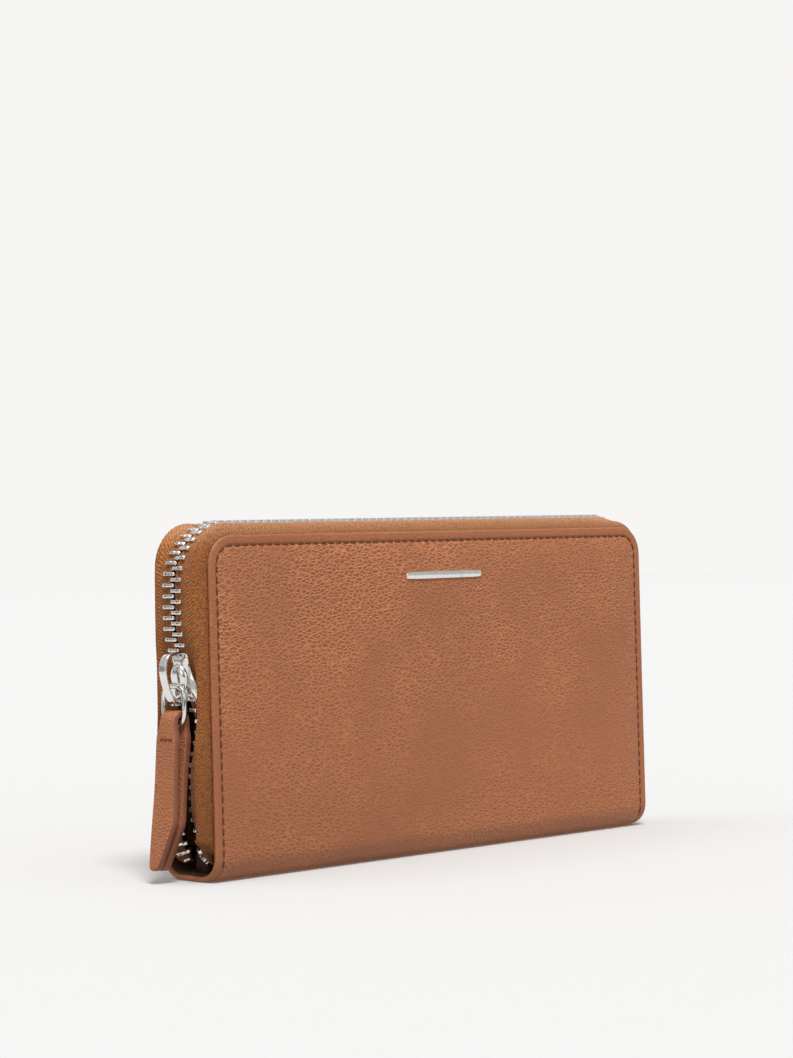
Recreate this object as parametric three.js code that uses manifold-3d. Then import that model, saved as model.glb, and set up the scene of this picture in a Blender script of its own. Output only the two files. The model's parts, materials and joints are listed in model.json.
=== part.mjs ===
// A zip-around wallet that stands on its spine, in millimetres, +Z up.
// Origin: the middle of the spine's flat underside. +X runs along the spine, +Y from the front cover
// to the back cover. The zip runs up the -X end, over the top and down the +X end.
import * as THREE from "three";
import { mergeVertices } from "three/addons/utils/BufferGeometryUtils.js";
import Module from "manifold-3d";

const wasm = await Module();
wasm.setup();

// ---------------------------------------------------------------- driving dimensions
const coverWidth = 184; // leather cover, along the spine
const coverHeight = 95.5; // from the surface it stands on to the cover's top edge
const coverCorner = 8.5; // radius of the two top corners
const walletDepth = 23; // over both leather covers
const spineRadius = 7; // outer radius where a cover turns into the spine

const leatherThick = 1.2;
const boardThick = 0.8; // stiffener inside each cover
const liningThick = 0.5;
const layerGap = 0.05; // glue line between layers of a cover
const foldGap = 0.2; // between a cover's lower edge and the spine

const tapeThick = 0.5; // woven zip tape
const tapeMargin = 8; // tape glued inside the cover's edge
const chainRise = 3; // middle of the zip chain, outside the cover's edge
const chainSink = 2.1; // how much lower it lies on the slider's side
const toothPitch = 3;
const toothWidth = 1.15; // along the chain
const toothLength = 4.4; // across the chain
const toothThick = 2.4;
const toothReach = 0.65; // how far a closed tooth passes the chain's centre line
const beadWidth = 1.3; // corded tape edge that the teeth are clamped on
const beadThick = 1.5;
const openShift = 1.9; // how far each row stands off where the zip is open
const tapeGap = 0.3; // between a tooth's end and the woven tape
const stopLength = 2.2;

const sliderHeight = 56.2; // the slider's middle, above the surface the wallet stands on
const sliderLength = 14;
const sliderFlange = 1.45; // its side walls at the shoulders
const sliderNoseHalf = 5.1; // half width at the narrow end
const sliderWall = 1.2;
const sliderPlay = 0.3; // round the teeth
const bridgeWidth = 2.6;
const bridgeRise = 5.9; // top of the bridge, above the slider's plate
const bridgeThick = 1.5;

const ringWire = 1.4;
const ringHeight = 9.6; // between the wire's centre lines
const tabLength = 44;
const tabWidth = 7.8;
const tabLoopWidth = 5.8; // where it passes through the ring
const tabFoot = 9; // width where its front edge turns in
const tabTip = 4; // width of the blunt end
const tabLayer = 2; // one layer of the folded strip
const tabGroove = 0.7; // between the two layers
const hangLean = 5; // degrees, ring and tab, foot outwards
const ringPlay = 0.2; // round the wire in the bridge, and beside the tab's loop
const loopPlay = 0.4; // round the wire in the tab's loop

const pocketThick = 0.45; // card pocket strips
const pocketCount = 4;
const pocketTop = 78;
const pocketStep = 10;
const pocketBase = 13;
const pocketEndGap = 3; // from the cover's end to the pocket strips

const coinHalf = 2.1; // half of the coin pocket's inner depth
const coinWall = 0.4;
const coinTop = 78;
const coinHalfLength = 87.5;
const coilSide = 1.3; // coin zip coil, height and width
const coinSliderLength = 8;

const pleatDepth = 12;
const pleatThick = 0.3;
const pleatLegs = 4;
const pleatTop = 76;
const pleatClearance = 0.12; // to the panels on each side

const emblemLength = 32;
const emblemDrop = 13; // from the cover's top edge to the emblem's middle
const emblemHeight = 2.2;
const emblemThick = 0.4;

// ---------------------------------------------------------------- derived places
const halfDepth = walletDepth / 2;
const halfWidth = coverWidth / 2;
const foldHeight = spineRadius + foldGap; // covers start here, and the front one hinges here
const leatherInner = halfDepth - leatherThick;
const boardInner = leatherInner - layerGap - boardThick;
const liningInner = boardInner - layerGap - liningThick;
const pocketPitch = pocketThick + layerGap;
const pocketStack = liningInner - pocketCount * pocketPitch;
const coinOuter = coinHalf + coinWall;
const coinBase = leatherThick + layerGap + liningThick + layerGap; // stands on the spine's lining
const sideLength = coverHeight - coverCorner - foldHeight;
const arcLength = (Math.PI / 2) * (coverCorner + chainRise);
const topLength = coverWidth - 2 * coverCorner;
const chainLength = 2 * sideLength + 2 * arcLength + topLength;
const toothEnd = toothLength - toothReach; // outer end of a closed tooth, from the centre line
const sliderMouthHalf = toothEnd + openShift + sliderPlay + sliderFlange;
const sideRise = chainRise - chainSink;
const [sinkBefore, sinkAfter] = [9.5, 2]; // where it starts and stops sinking, about the corner's lower end
const plateInner = sideRise + toothThick / 2 + sliderPlay;
const plateOuter = plateInner + sliderWall;
const backPlateInner = sideRise - toothThick / 2 - sliderPlay;
const backPlateOuter = backPlateInner - sliderWall;

// ---------------------------------------------------------------- materials
const finish = (color, roughness, metalness) =>
  new THREE.MeshStandardMaterial({ color, roughness, metalness });
const leather = finish(0xa9694a, 0.55, 0);
const tape = finish(0x9a5a2a, 0.9, 0);
const nickel = finish(0xd8d6d0, 0.2, 1);
const lining = finish(0x6b4630, 0.8, 0);
const board = finish(0x8a7f70, 0.9, 0);
const coil = finish(0x7a4a2a, 0.5, 0);

// ---------------------------------------------------------------- helpers
const wallet = new THREE.Group();

function add(parent, name, geometry, material) {
  const mesh = new THREE.Mesh(geometry, material);
  mesh.name = name;
  parent.add(mesh);
  return mesh;
}

const shapeOf = (points) => new THREE.Shape(points.map(([a, b]) => new THREE.Vector2(a, b)));

// A flat outline given as (first, second) and pushed along the third axis from low to high.
function extrude(outline, low, high, axis) {
  const shape = Array.isArray(outline) ? shapeOf(outline) : outline;
  const settings = { depth: high - low, bevelEnabled: false, curveSegments: 8 };
  const geometry = new THREE.ExtrudeGeometry(shape, settings);
  if (axis === "y") return geometry.rotateX(Math.PI / 2).translate(0, high, 0); // outline is (x, z)
  if (axis === "z") return geometry.translate(0, 0, low); // outline is (x, y)
  const turn = new THREE.Matrix4().set(0, 0, 1, low, 1, 0, 0, 0, 0, 1, 0, 0, 0, 0, 0, 1);
  return geometry.applyMatrix4(turn); // axis x, outline is (y, z)
}

const box = (x0, x1, y0, y1, z0, z1) =>
  new THREE.BoxGeometry(x1 - x0, y1 - y0, z1 - z0).translate((x0 + x1) / 2, (y0 + y1) / 2, (z0 + z1) / 2);

function solid(geometry) {
  const bare = geometry.clone();
  bare.deleteAttribute("normal");
  bare.deleteAttribute("uv");
  const merged = mergeVertices(bare, 1e-4);
  const vertProperties = new Float32Array(merged.attributes.position.array);
  const triVerts = new Uint32Array(merged.index.array);
  return new wasm.Manifold(new wasm.Mesh({ numProp: 3, vertProperties, triVerts }));
}

function geometryOf(manifold) {
  const mesh = manifold.getMesh();
  const geometry = new THREE.BufferGeometry();
  geometry.setAttribute("position", new THREE.BufferAttribute(mesh.vertProperties, 3));
  geometry.setIndex(new THREE.BufferAttribute(mesh.triVerts, 1));
  geometry.computeVertexNormals();
  return geometry;
}

const join = (...geometries) => geometryOf(geometries.map(solid).reduce((a, b) => a.add(b)));
const cut = (from, ...tools) => geometryOf(tools.map(solid).reduce((a, b) => a.subtract(b), solid(from)));
const common = (a, b) => geometryOf(solid(a).intersect(solid(b)));

// A closed solid through rings of equally many points; its first and last rings are capped, or joined
// to each other when closed is true.
function loft(rings, closed = false) {
  const n = rings[0].length;
  const flat = (ring) => {
    const origin = new THREE.Vector3(...ring[0]);
    const along = new THREE.Vector3(...ring[1]).sub(origin).normalize();
    const normal = new THREE.Vector3();
    for (let i = 0; i < n; i++) {
      const a = new THREE.Vector3(...ring[i]);
      const b = new THREE.Vector3(...ring[(i + 1) % n]);
      normal.add(a.cross(b));
    }
    const across = normal.normalize().cross(along);
    return ring.map((p) => {
      const q = new THREE.Vector3(...p).sub(origin);
      return new THREE.Vector2(q.dot(along), q.dot(across));
    });
  };
  const faces = [];
  const last = closed ? rings.length : rings.length - 1;
  for (let r = 0; r < last; r++) {
    const next = (r + 1) % rings.length;
    for (let i = 0; i < n; i++) {
      const j = (i + 1) % n;
      faces.push([r * n + i, r * n + j, next * n + j], [r * n + i, next * n + j, next * n + i]);
    }
  }
  if (!closed) {
    for (const [a, b, c] of THREE.ShapeUtils.triangulateShape(flat(rings[0]), [])) faces.push([c, b, a]);
    const base = (rings.length - 1) * n;
    for (const [a, b, c] of THREE.ShapeUtils.triangulateShape(flat(rings.at(-1)), [])) {
      faces.push([base + a, base + b, base + c]);
    }
  }
  const geometry = new THREE.BufferGeometry();
  geometry.setAttribute("position", new THREE.Float32BufferAttribute(rings.flat(2), 3));
  geometry.setIndex(faces.flat());
  return outward(geometry);
}

// Turns a closed mesh's faces outwards, by the sign of its volume.
function outward(geometry) {
  const p = geometry.attributes.position;
  const index = geometry.index.array;
  let volume = 0;
  for (let i = 0; i < index.length; i += 3) {
    const [a, b, c] = [0, 1, 2].map((k) => new THREE.Vector3().fromBufferAttribute(p, index[i + k]));
    volume += a.dot(b.cross(c));
  }
  if (volume < 0) {
    for (let i = 0; i < index.length; i += 3) [index[i], index[i + 1]] = [index[i + 1], index[i]];
  }
  return geometry.toNonIndexed();
}

// ---------------------------------------------------------------- the zip's path round three sides
// The place on the cover's outline at a distance along the chain from its lower -X end, with the
// outward normal and the direction of travel.
function outlineAt(distance) {
  let s = distance;
  const corner = (sign, turned) => {
    const angle = Math.PI / 2 - sign * (Math.PI / 2 - turned);
    const [cos, sin] = [Math.cos(turned), Math.sin(turned)];
    const normal = sign < 0 ? [-cos, sin] : [sin, cos];
    const centre = [sign * (halfWidth - coverCorner), coverHeight - coverCorner];
    const [x, z] = centre.map((value, i) => value + coverCorner * normal[i]);
    return { x, z, normal, angle };
  };
  if (s <= sideLength) return { x: -halfWidth, z: foldHeight + s, normal: [-1, 0] };
  s -= sideLength;
  if (s <= arcLength) return corner(-1, s / (coverCorner + chainRise));
  s -= arcLength;
  if (s <= topLength) return { x: -halfWidth + coverCorner + s, z: coverHeight, normal: [0, 1] };
  s -= topLength;
  if (s <= arcLength) return corner(1, s / (coverCorner + chainRise));
  s -= arcLength;
  return { x: halfWidth, z: coverHeight - coverCorner - s, normal: [1, 0] };
}

// A point at a rise outside the cover's outline and at y.
function onPath(distance, rise, y) {
  const at = outlineAt(distance);
  return [at.x + rise * at.normal[0], y, at.z + rise * at.normal[1]];
}

// How far outside the cover's edge the chain lies: lower on the slider's side.
function riseAt(distance) {
  const [from, to] = [sideLength - sinkBefore, sideLength + sinkAfter];
  return sideRise + chainSink * THREE.MathUtils.smoothstep(distance, from, to);
}

// How far a row stands off the chain's centre line: closed above the slider, open below it.
function rowShift(distance) {
  const height = foldHeight + distance;
  if (distance > sideLength) return 0;
  return openShift * THREE.MathUtils.smoothstep(sliderHeight + 4 - height, 0, 10);
}

// Distances where a swept section needs a ring.
function pathStops() {
  const stops = [0];
  const slider = sliderHeight - foldHeight;
  for (let d = slider - 8; d <= slider + 5; d += 2.6) stops.push(d);
  stops.push(sideLength - sinkBefore, sideLength - sinkBefore / 2);
  const arcSteps = 7;
  for (let i = 0; i <= arcSteps; i++) stops.push(sideLength + (arcLength * i) / arcSteps);
  const secondCorner = sideLength + arcLength + topLength;
  for (let i = 0; i <= arcSteps; i++) stops.push(secondCorner + (arcLength * i) / arcSteps);
  stops.push(chainLength);
  return stops;
}

// The outline of a cover layer set in from the leather's edge.
function coverOutline(inset, base) {
  const w = halfWidth - inset;
  const h = coverHeight - inset;
  const r = Math.max(coverCorner - inset, 1);
  const shape = new THREE.Shape();
  shape.moveTo(-w, base);
  shape.lineTo(w, base);
  shape.lineTo(w, h - r);
  shape.absarc(w - r, h - r, r, 0, Math.PI / 2, false);
  shape.lineTo(-w + r, h);
  shape.absarc(-w + r, h - r, r, Math.PI / 2, Math.PI, false);
  shape.closePath();
  return shape;
}

// A slab between two distances from the wallet's middle plane, on the front (-1) or the back (+1).
const slab = (outline, side, inner, outer) =>
  side < 0 ? extrude(outline, -outer, -inner, "y") : extrude(outline, inner, outer, "y");

// ---------------------------------------------------------------- covers
function buildCover(side, prefix) {
  const skin = slab(coverOutline(0, foldHeight), side, leatherInner, halfDepth);
  add(wallet, prefix + "_cover_leather", skin, leather);
  const boardOuter = leatherInner - layerGap;
  const stiffener = slab(coverOutline(tapeMargin + 1, foldHeight + 2), side, boardInner, boardOuter);
  add(wallet, prefix + "_cover_board", stiffener, board);
  const liningOuter = boardInner - layerGap;
  const cloth = slab(coverOutline(1, foldHeight), side, liningInner, liningOuter);
  add(wallet, prefix + "_lining", cloth, lining);
  for (let i = 0; i < pocketCount; i++) {
    const outer = liningInner - layerGap - i * pocketPitch;
    const top = pocketTop - i * pocketStep;
    const half = halfWidth - pocketEndGap;
    const strip = [[-half, pocketBase], [half, pocketBase], [half, top], [-half, top]];
    add(wallet, `${prefix}_card_pocket_${i + 1}`, slab(strip, side, outer - pocketThick, outer), leather);
  }
}

// The U-shaped profile of the spine between two walls, as (y, z).
function spineProfile(outerHalf, base, radius, thick, top) {
  const shape = new THREE.Shape();
  const inner = Math.max(radius - thick, 0.5);
  shape.moveTo(-outerHalf, top);
  shape.lineTo(-outerHalf, base + radius);
  shape.absarc(-outerHalf + radius, base + radius, radius, Math.PI, 1.5 * Math.PI, false);
  shape.lineTo(outerHalf - radius, base);
  shape.absarc(outerHalf - radius, base + radius, radius, -Math.PI / 2, 0, false);
  shape.lineTo(outerHalf, top);
  shape.lineTo(outerHalf - thick, top);
  shape.lineTo(outerHalf - thick, base + thick + inner);
  shape.absarc(outerHalf - thick - inner, base + thick + inner, inner, 0, -Math.PI / 2, true);
  shape.lineTo(-outerHalf + thick + inner, base + thick);
  shape.absarc(-outerHalf + thick + inner, base + thick + inner, inner, -Math.PI / 2, -Math.PI, true);
  shape.closePath();
  return shape;
}

function buildSpine() {
  const outer = spineProfile(halfDepth, 0, spineRadius, leatherThick, spineRadius + 0.01);
  add(wallet, "spine_leather", extrude(outer, -halfWidth, halfWidth, "x"), leather);
  const skin = leatherThick + layerGap;
  const inner = spineProfile(halfDepth - skin, skin, spineRadius - skin, liningThick, spineRadius);
  add(wallet, "spine_lining", extrude(inner, -halfWidth + 1, halfWidth - 1, "x"), lining);
}

// ---------------------------------------------------------------- zip tapes, rows of teeth and stops
// The tape leaves the cover's edge, bulges outwards and ends beside the row of teeth.
function tapeSection(distance) {
  const y = leatherInner - layerGap - tapeThick / 2;
  const edge = toothEnd + tapeGap + rowShift(distance);
  const bend = sliderMouthHalf + 0.4; // level inside this, so that the slider can pass
  const rise = riseAt(distance);
  const slope = (share) => bend + share * (y - bend);
  const sloping = [[0.4 * rise, slope(0.82)], [0.83 * rise, slope(0.45)]];
  const line = [[-tapeMargin, y], [-0.8, y], ...sloping, [rise, bend], [rise, edge]];
  const half = tapeThick / 2;
  const offsets = line.map(([u, v], i) => {
    const [a, b] = [line[Math.max(i - 1, 0)], line[Math.min(i + 1, line.length - 1)]];
    const [du, dv] = [b[0] - a[0], b[1] - a[1]];
    const size = Math.hypot(du, dv);
    return [-dv / size, du / size];
  });
  const outer = line.map(([u, v], i) => [u + half * offsets[i][0], v + half * offsets[i][1]]);
  const inner = line.map(([u, v], i) => [u - half * offsets[i][0], v - half * offsets[i][1]]).reverse();
  return [...outer, ...inner];
}

const sweep = (sectionAt, side, stops) =>
  loft(stops.map((d) => sectionAt(d).map(([rise, y]) => onPath(d, rise, side * y))));

const beadCentre = toothEnd - (toothLength - beadWidth) / 2 + 0.55; // of the corded edge, from the centre line

function beadSection(distance) {
  const y = beadCentre + rowShift(distance);
  const [h, w] = [beadThick / 2, beadWidth / 2];
  const rise = riseAt(distance);
  return [[rise - h, y - w], [rise + h, y - w], [rise + h, y + w], [rise - h, y + w]];
}

// One tooth: a block across the chain, clamped round the corded edge.
function tooth(distance, side) {
  const at = outlineAt(distance);
  const tangent = [at.normal[1], 0, -at.normal[0]];
  const middle = toothLength / 2 - toothReach + rowShift(distance);
  const place = onPath(distance, riseAt(distance), side * middle);
  const block = new THREE.BoxGeometry(toothWidth, toothLength, toothThick);
  const turn = new THREE.Matrix4().makeBasis(
    new THREE.Vector3(...tangent),
    new THREE.Vector3(0, 1, 0),
    new THREE.Vector3(at.normal[0], 0, at.normal[1]),
  );
  return block.applyMatrix4(turn.setPosition(...place));
}

function buildRow(side, name) {
  const row = [solid(sweep(beadSection, side, pathStops()))];
  const first = stopLength + toothPitch * (side < 0 ? 0.5 : 1);
  const last = chainLength - stopLength - toothPitch / 2;
  for (let d = first; d < last; d += toothPitch) row.push(solid(tooth(d, side)));
  add(wallet, name, geometryOf(wasm.Manifold.union(row)), nickel);
}

// A bent metal clip closed over the end of a row.
function buildStop(side, end, name) {
  const distance = end < 0 ? stopLength / 2 : chainLength - stopLength / 2;
  const at = outlineAt(distance);
  const y = side * (beadCentre + rowShift(distance));
  const [w, t, l] = [1.1 + beadWidth / 2, toothThick / 2, stopLength / 2 - 0.15];
  const x = at.x + at.normal[0] * riseAt(distance);
  const clip = box(x - t, x + t, y - w, y + w, at.z - l, at.z + l);
  const [halfThick, halfBead] = [beadThick / 2 + 0.05, beadWidth / 2 + 0.05];
  const slot = box(x - halfThick, x + halfThick, y - halfBead, y + w + 1, at.z - 2 * l, at.z + 2 * l);
  const turned = side < 0 ? slot.translate(0, -(w + 1 - beadWidth / 2 - 0.05), 0) : slot;
  add(wallet, name, cut(clip, turned), nickel);
}

// ---------------------------------------------------------------- slider, ring and pull tab
// In the slider's own frame, u is outwards from the cover's edge and z is up from its middle.
const sliderX = (u) => -halfWidth - u;

function sliderOutline(grow) {
  const top = sliderLength / 2;
  const [nose, mouth] = [sliderNoseHalf + grow, sliderMouthHalf + grow];
  const half = [
    [nose - 1, top], [nose, top - 1], [nose + 0.2, top - 4],
    [mouth, -top + 5], [mouth - 0.4, -top + 2], [mouth - 2.4, -top],
  ];
  return [...half, [0, -top + 1.2], ...half.map(([y, z]) => [-y, z]).reverse()];
}

function channelOutline() {
  const top = sliderLength / 2 + 1;
  const [closed, open] = [toothEnd + sliderPlay, toothEnd + openShift + sliderPlay];
  const left = [[-closed, top], [-closed, 6], [-open, -4], [-open, -top]];
  return [...left, ...left.map(([y, z]) => [-y, z]).reverse()];
}

const sliderSlab = (outline, u0, u1) =>
  extrude(outline, sliderX(u1), sliderX(u0), "x").translate(0, 0, sliderHeight);

function buildSlider() {
  const lipHalf = tapeThick / 2 + 0.35; // the slot that the tape leaves by
  const front = cut(
    sliderSlab(sliderOutline(0), sideRise + lipHalf, plateOuter),
    sliderSlab(channelOutline(), sideRise + lipHalf - 1, plateInner),
  );
  const back = cut(
    sliderSlab(sliderOutline(-0.2), backPlateOuter, sideRise - lipHalf),
    sliderSlab(channelOutline(), backPlateInner, sideRise - lipHalf + 1),
  );
  const foot = -sliderLength / 2 + 1.3;
  const wedge = [[-0.9, foot], [0.9, foot], [0.9, foot + 2.2], [0, -1.8], [-0.9, foot + 2.2]];
  const post = sliderSlab(wedge, backPlateInner - 0.1, plateInner + 0.1);
  add(wallet, "slider_body", join(front, back, post), nickel);
}

// The bridge is an arch along the slider that the ring hangs in.
const bridgeFoot = sliderLength / 2;
const bridgeBase = plateOuter + layerGap;
const ringAxisZ = sliderHeight - bridgeFoot + 4.95;
const ringAxisU = bridgeBase + ringPlay + ringWire / 2;

function buildBridge() {
  const [f, h, t] = [bridgeFoot, bridgeRise, bridgeThick];
  const outer = [
    [f - 0.8, 0], [f - 1, 0.5 * h], [f - 2.6, 0.88 * h], [f - 4.8, h],
    [-f + 6.6, 0.8 * h], [-f + 2.4, 0.56 * h], [-f + 0.9, 0.24 * h], [-f + 0.8, 0],
  ];
  const inner = [
    [-f + 0.8 + t, 0], [-f + 1.1 + t, 0.3 * h], [-f + 5.4, 0.8 * h - t], [f - 4.8, h - t],
    [f - 3.5, 0.88 * h - t], [f - 0.9 - t, 0.4 * h], [f - 0.8 - t, 0],
  ];
  const placed = ([z, u]) => [sliderX(bridgeBase + u), sliderHeight + z];
  const profile = shapeOf([...outer, ...inner].map(placed));
  add(wallet, "slider_bridge", extrude(profile, -bridgeWidth / 2, bridgeWidth / 2, "y"), nickel);
}

// An oval wire ring. Its top bar turns in the bridge and its lower bar carries the tab.
const ringHalf = tabLoopWidth / 2 + ringPlay + ringWire / 2 + 0.6;
const ringSquare = 0.5; // 1 would be an ellipse, smaller is squarer
const hang = new THREE.Group(); // turns about the ring's top bar

function onRing(a) {
  const power = (value) => Math.sign(value) * Math.abs(value) ** ringSquare;
  return [ringHalf * power(Math.cos(a)), (ringHeight / 2) * power(Math.sin(a))];
}

function buildRing() {
  const steps = 28;
  const sides = 8;
  const rings = [];
  for (let i = 0; i < steps; i++) {
    const a = (2 * Math.PI * i) / steps;
    const centre = onRing(a);
    const b = a + 0.01;
    const next = onRing(b);
    const along = [next[0] - centre[0], next[1] - centre[1]];
    const size = Math.hypot(...along);
    const across = [along[1] / size, -along[0] / size];
    const wire = [];
    for (let k = 0; k < sides; k++) {
      const c = (2 * Math.PI * (k + 0.5)) / sides;
      const out = (ringWire / 2) * Math.cos(c);
      wire.push([
        (ringWire / 2) * Math.sin(c),
        centre[0] + out * across[0],
        -ringHeight / 2 + centre[1] + out * across[1],
      ]);
    }
    rings.push(wire);
  }
  add(hang, "pull_ring", loft(rings, true), nickel);
}

// A leather strip folded over the ring's lower bar. Its own origin is that bar.
function buildTab() {
  const loopInner = ringWire / 2 + loopPlay;
  const loopOuter = loopInner + tabLayer - loopPlay;
  const waist = -loopOuter - 1.5; // where the two layers come together
  const half = tabGroove / 2;
  const foot = -tabLength + loopOuter;
  const arc = (r, from, to, steps) =>
    Array.from({ length: steps + 1 }, (_, i) => {
      const a = from + ((to - from) * i) / steps;
      return [r * Math.cos(a), r * Math.sin(a)];
    });
  const [far, bend] = [half + tabLayer, arc(loopOuter, 0, Math.PI, 10)];
  const outer = [[far, foot], [far, waist], ...bend, [-far, waist], [-far, foot]];
  const hollow = arc(loopInner, Math.PI, 0, 8);
  const inner = [[-half, foot], [-half, waist], ...hollow, [half, waist], [half, foot]];
  const hairpin = extrude([...outer, ...inner], -tabFoot, tabFoot, "y");
  const [back, front] = [tabWidth / 2, -tabWidth / 2];
  const turnIn = foot + 13;
  const face = new THREE.Shape();
  face.moveTo(-tabLoopWidth / 2, loopOuter + 1);
  face.lineTo(-tabLoopWidth / 2, -loopInner - 0.4);
  face.lineTo(front, waist - 0.6);
  face.lineTo(front, waist - 12);
  face.lineTo(back - tabFoot, turnIn + 0.6);
  face.quadraticCurveTo(back - tabFoot - 0.05, turnIn - 0.6, back - tabFoot + 0.7, turnIn - 1.6);
  face.lineTo(back - tabTip + 0.2, foot + 1);
  face.quadraticCurveTo(back - tabTip + 1, foot, back - tabTip / 2, foot);
  face.quadraticCurveTo(back + 0.4, foot, back + 0.5, foot + 2.5);
  face.lineTo(back, waist - 12);
  face.lineTo(back, waist - 0.6);
  face.lineTo(tabLoopWidth / 2, -loopInner - 0.4);
  face.lineTo(tabLoopWidth / 2, loopOuter + 1);
  const strip = common(hairpin, extrude(face, -loopOuter - 1, loopOuter + 1, "x"));
  add(hang, "pull_tab", strip.translate(0, 0, -ringHeight), leather);
  hang.position.set(sliderX(ringAxisU), 0, ringAxisZ);
  hang.rotation.y = THREE.MathUtils.degToRad(hangLean);
  wallet.add(hang);
}

// ---------------------------------------------------------------- inside: pleated gussets and coin pocket
// A pleated strip seen from above, folded to and fro between two x positions.
function pleats(xOuter, xInner, yFrom, yTo) {
  const h = pleatThick / 2;
  const from = yFrom + Math.sign(yTo - yFrom) * (h + pleatClearance);
  const to = yTo - Math.sign(yTo - yFrom) * (h + pleatClearance);
  const step = (to - from) / pleatLegs;
  const share = (2 * h) / (2 * Math.abs(step)); // how far the inside of a fold draws back
  const reach = xInner - xOuter;
  const up = Math.sign(step) * h;
  const [a, b] = [[[xOuter, from - up]], [[xOuter, from + up]]];
  for (let i = 1; i < pleatLegs; i++) {
    const y = from + i * step;
    const atInner = i % 2 === 1;
    const tip = [[atInner ? xInner : xOuter, y - up], [atInner ? xInner : xOuter, y + up]];
    const nook = [atInner ? xInner - reach * share : xOuter + reach * share, y];
    (atInner ? a : b).push(...tip);
    (atInner ? b : a).push(nook);
  }
  const end = pleatLegs % 2 === 0 ? xOuter : xInner;
  a.push([end, to + up]);
  b.push([end, to - up]);
  return [...a, ...b.reverse()];
}

function buildGussets() {
  const low = foldHeight + 2;
  for (const [side, prefix] of [[-1, "front"], [1, "back"]]) {
    for (const [end, suffix] of [[-1, "left"], [1, "right"]]) {
      const xOuter = end * (coinHalfLength + 1);
      const strip = pleats(xOuter, xOuter - end * pleatDepth, side * pocketStack, side * coinOuter);
      add(wallet, `${prefix}_gusset_${suffix}`, extrude(strip, low, pleatTop, "z"), lining);
    }
  }
}

const coinZipZ = coinTop + layerGap; // underside of the coin zip's tapes
const coinTapeThick = 0.4;
const coinTapeInner = coilSide + 0.15;
const coinSliderEnd = coinHalfLength - 6; // the slider's outer end, where the zip is closed

function buildCoinPocket() {
  const wallBox = (side) => {
    const [low, high] = side < 0 ? [-coinOuter, -coinHalf] : [coinHalf, coinOuter];
    return box(-coinHalfLength, coinHalfLength, low, high, coinBase, coinTop);
  };
  add(wallet, "coin_pocket_front_wall", wallBox(-1), lining);
  add(wallet, "coin_pocket_back_wall", wallBox(1), lining);
  const [l, t] = [coinHalfLength, coinWall];
  const frame = [
    [-l, coinTop], [-l, coinBase], [l, coinBase], [l, coinTop],
    [l - t, coinTop], [l - t, coinBase + t], [-l + t, coinBase + t], [-l + t, coinTop],
  ];
  add(wallet, "coin_pocket_gusset", extrude(frame, -coinHalf + layerGap, coinHalf - layerGap, "y"), lining);

  for (const [side, suffix] of [[-1, "front"], [1, "back"]]) {
    const [low, high] = side < 0 ? [-coinOuter, -coinTapeInner] : [coinTapeInner, coinOuter];
    const strip = box(-coinHalfLength, coinHalfLength, low, high, coinZipZ, coinZipZ + coinTapeThick);
    add(wallet, `coin_zip_tape_${suffix}`, strip, tape);
    const c = 0.3; // chamfer that rounds the coil
    const [a, b] = [0.1, 0.1 + coilSide];
    const z = coinZipZ + coinTapeThick / 2;
    const [bottom, top] = [z - coilSide / 2, z + coilSide / 2];
    const ring = [
      [a + c, bottom], [b - c, bottom], [b, bottom + c], [b, top - c],
      [b - c, top], [a + c, top], [a, top - c], [a, bottom + c],
    ];
    const section = ring.map(([y, h]) => [side * y, h]);
    if (side < 0) section.reverse();
    const row = extrude(section, -coinHalfLength + 6, coinSliderEnd - 3.2, "x");
    add(wallet, `coin_zip_coil_${suffix}`, row, coil);
  }
  const reach = coilSide / 2 + 0.2;
  const middle = coinZipZ + coinTapeThick / 2;
  const [x0, x1] = [coinSliderEnd - coinSliderLength, coinSliderEnd];
  const over = box(x0, x1, -2.7, 2.7, middle + reach, middle + reach + 0.8);
  const under = box(x0, x1, -coinHalf + 0.25, coinHalf - 0.25, middle - reach - 0.8, middle - reach);
  const post = box(x1 - 2.8, x1 - 1, -0.8, 0.8, middle - reach - 0.1, middle + reach + 0.1);
  const lugFoot = middle + reach + 0.7;
  const lugBlock = box(x0 + 2.2, x0 + 5.2, -1.2, 1.2, lugFoot, lugFoot + 2.2);
  const lugs = cut(lugBlock, box(x0 + 3, x0 + 4.4, -2, 2, lugFoot + 0.2, lugFoot + 1.5));
  add(wallet, "coin_slider_body", join(over, under, post, lugs), nickel);
  const axis = [x0 + 3.7, middle + reach + 1.55];
  const pull = cut(
    box(axis[0] - 15, axis[0] + 0.4, -2.2, 2.2, axis[1] - 0.4, axis[1] + 0.4),
    box(axis[0] - 2.6, axis[0] - 0.4, -1.4, 1.4, axis[1] - 2, axis[1] + 2),
  );
  add(wallet, "coin_slider_pull", pull, nickel);
}

// A blank metal bar on the front cover.
function buildEmblem() {
  const z = coverHeight - emblemDrop;
  const shape = new THREE.Shape();
  const [half, r] = [emblemLength / 2, emblemHeight / 2];
  shape.absarc(half - r, z, r, -Math.PI / 2, Math.PI / 2, false);
  shape.absarc(-half + r, z, r, Math.PI / 2, 1.5 * Math.PI, false);
  shape.closePath();
  const bar = extrude(shape, -halfDepth - emblemThick - layerGap, -halfDepth - layerGap, "y");
  add(wallet, "front_emblem_bar", bar, nickel);
}

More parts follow.
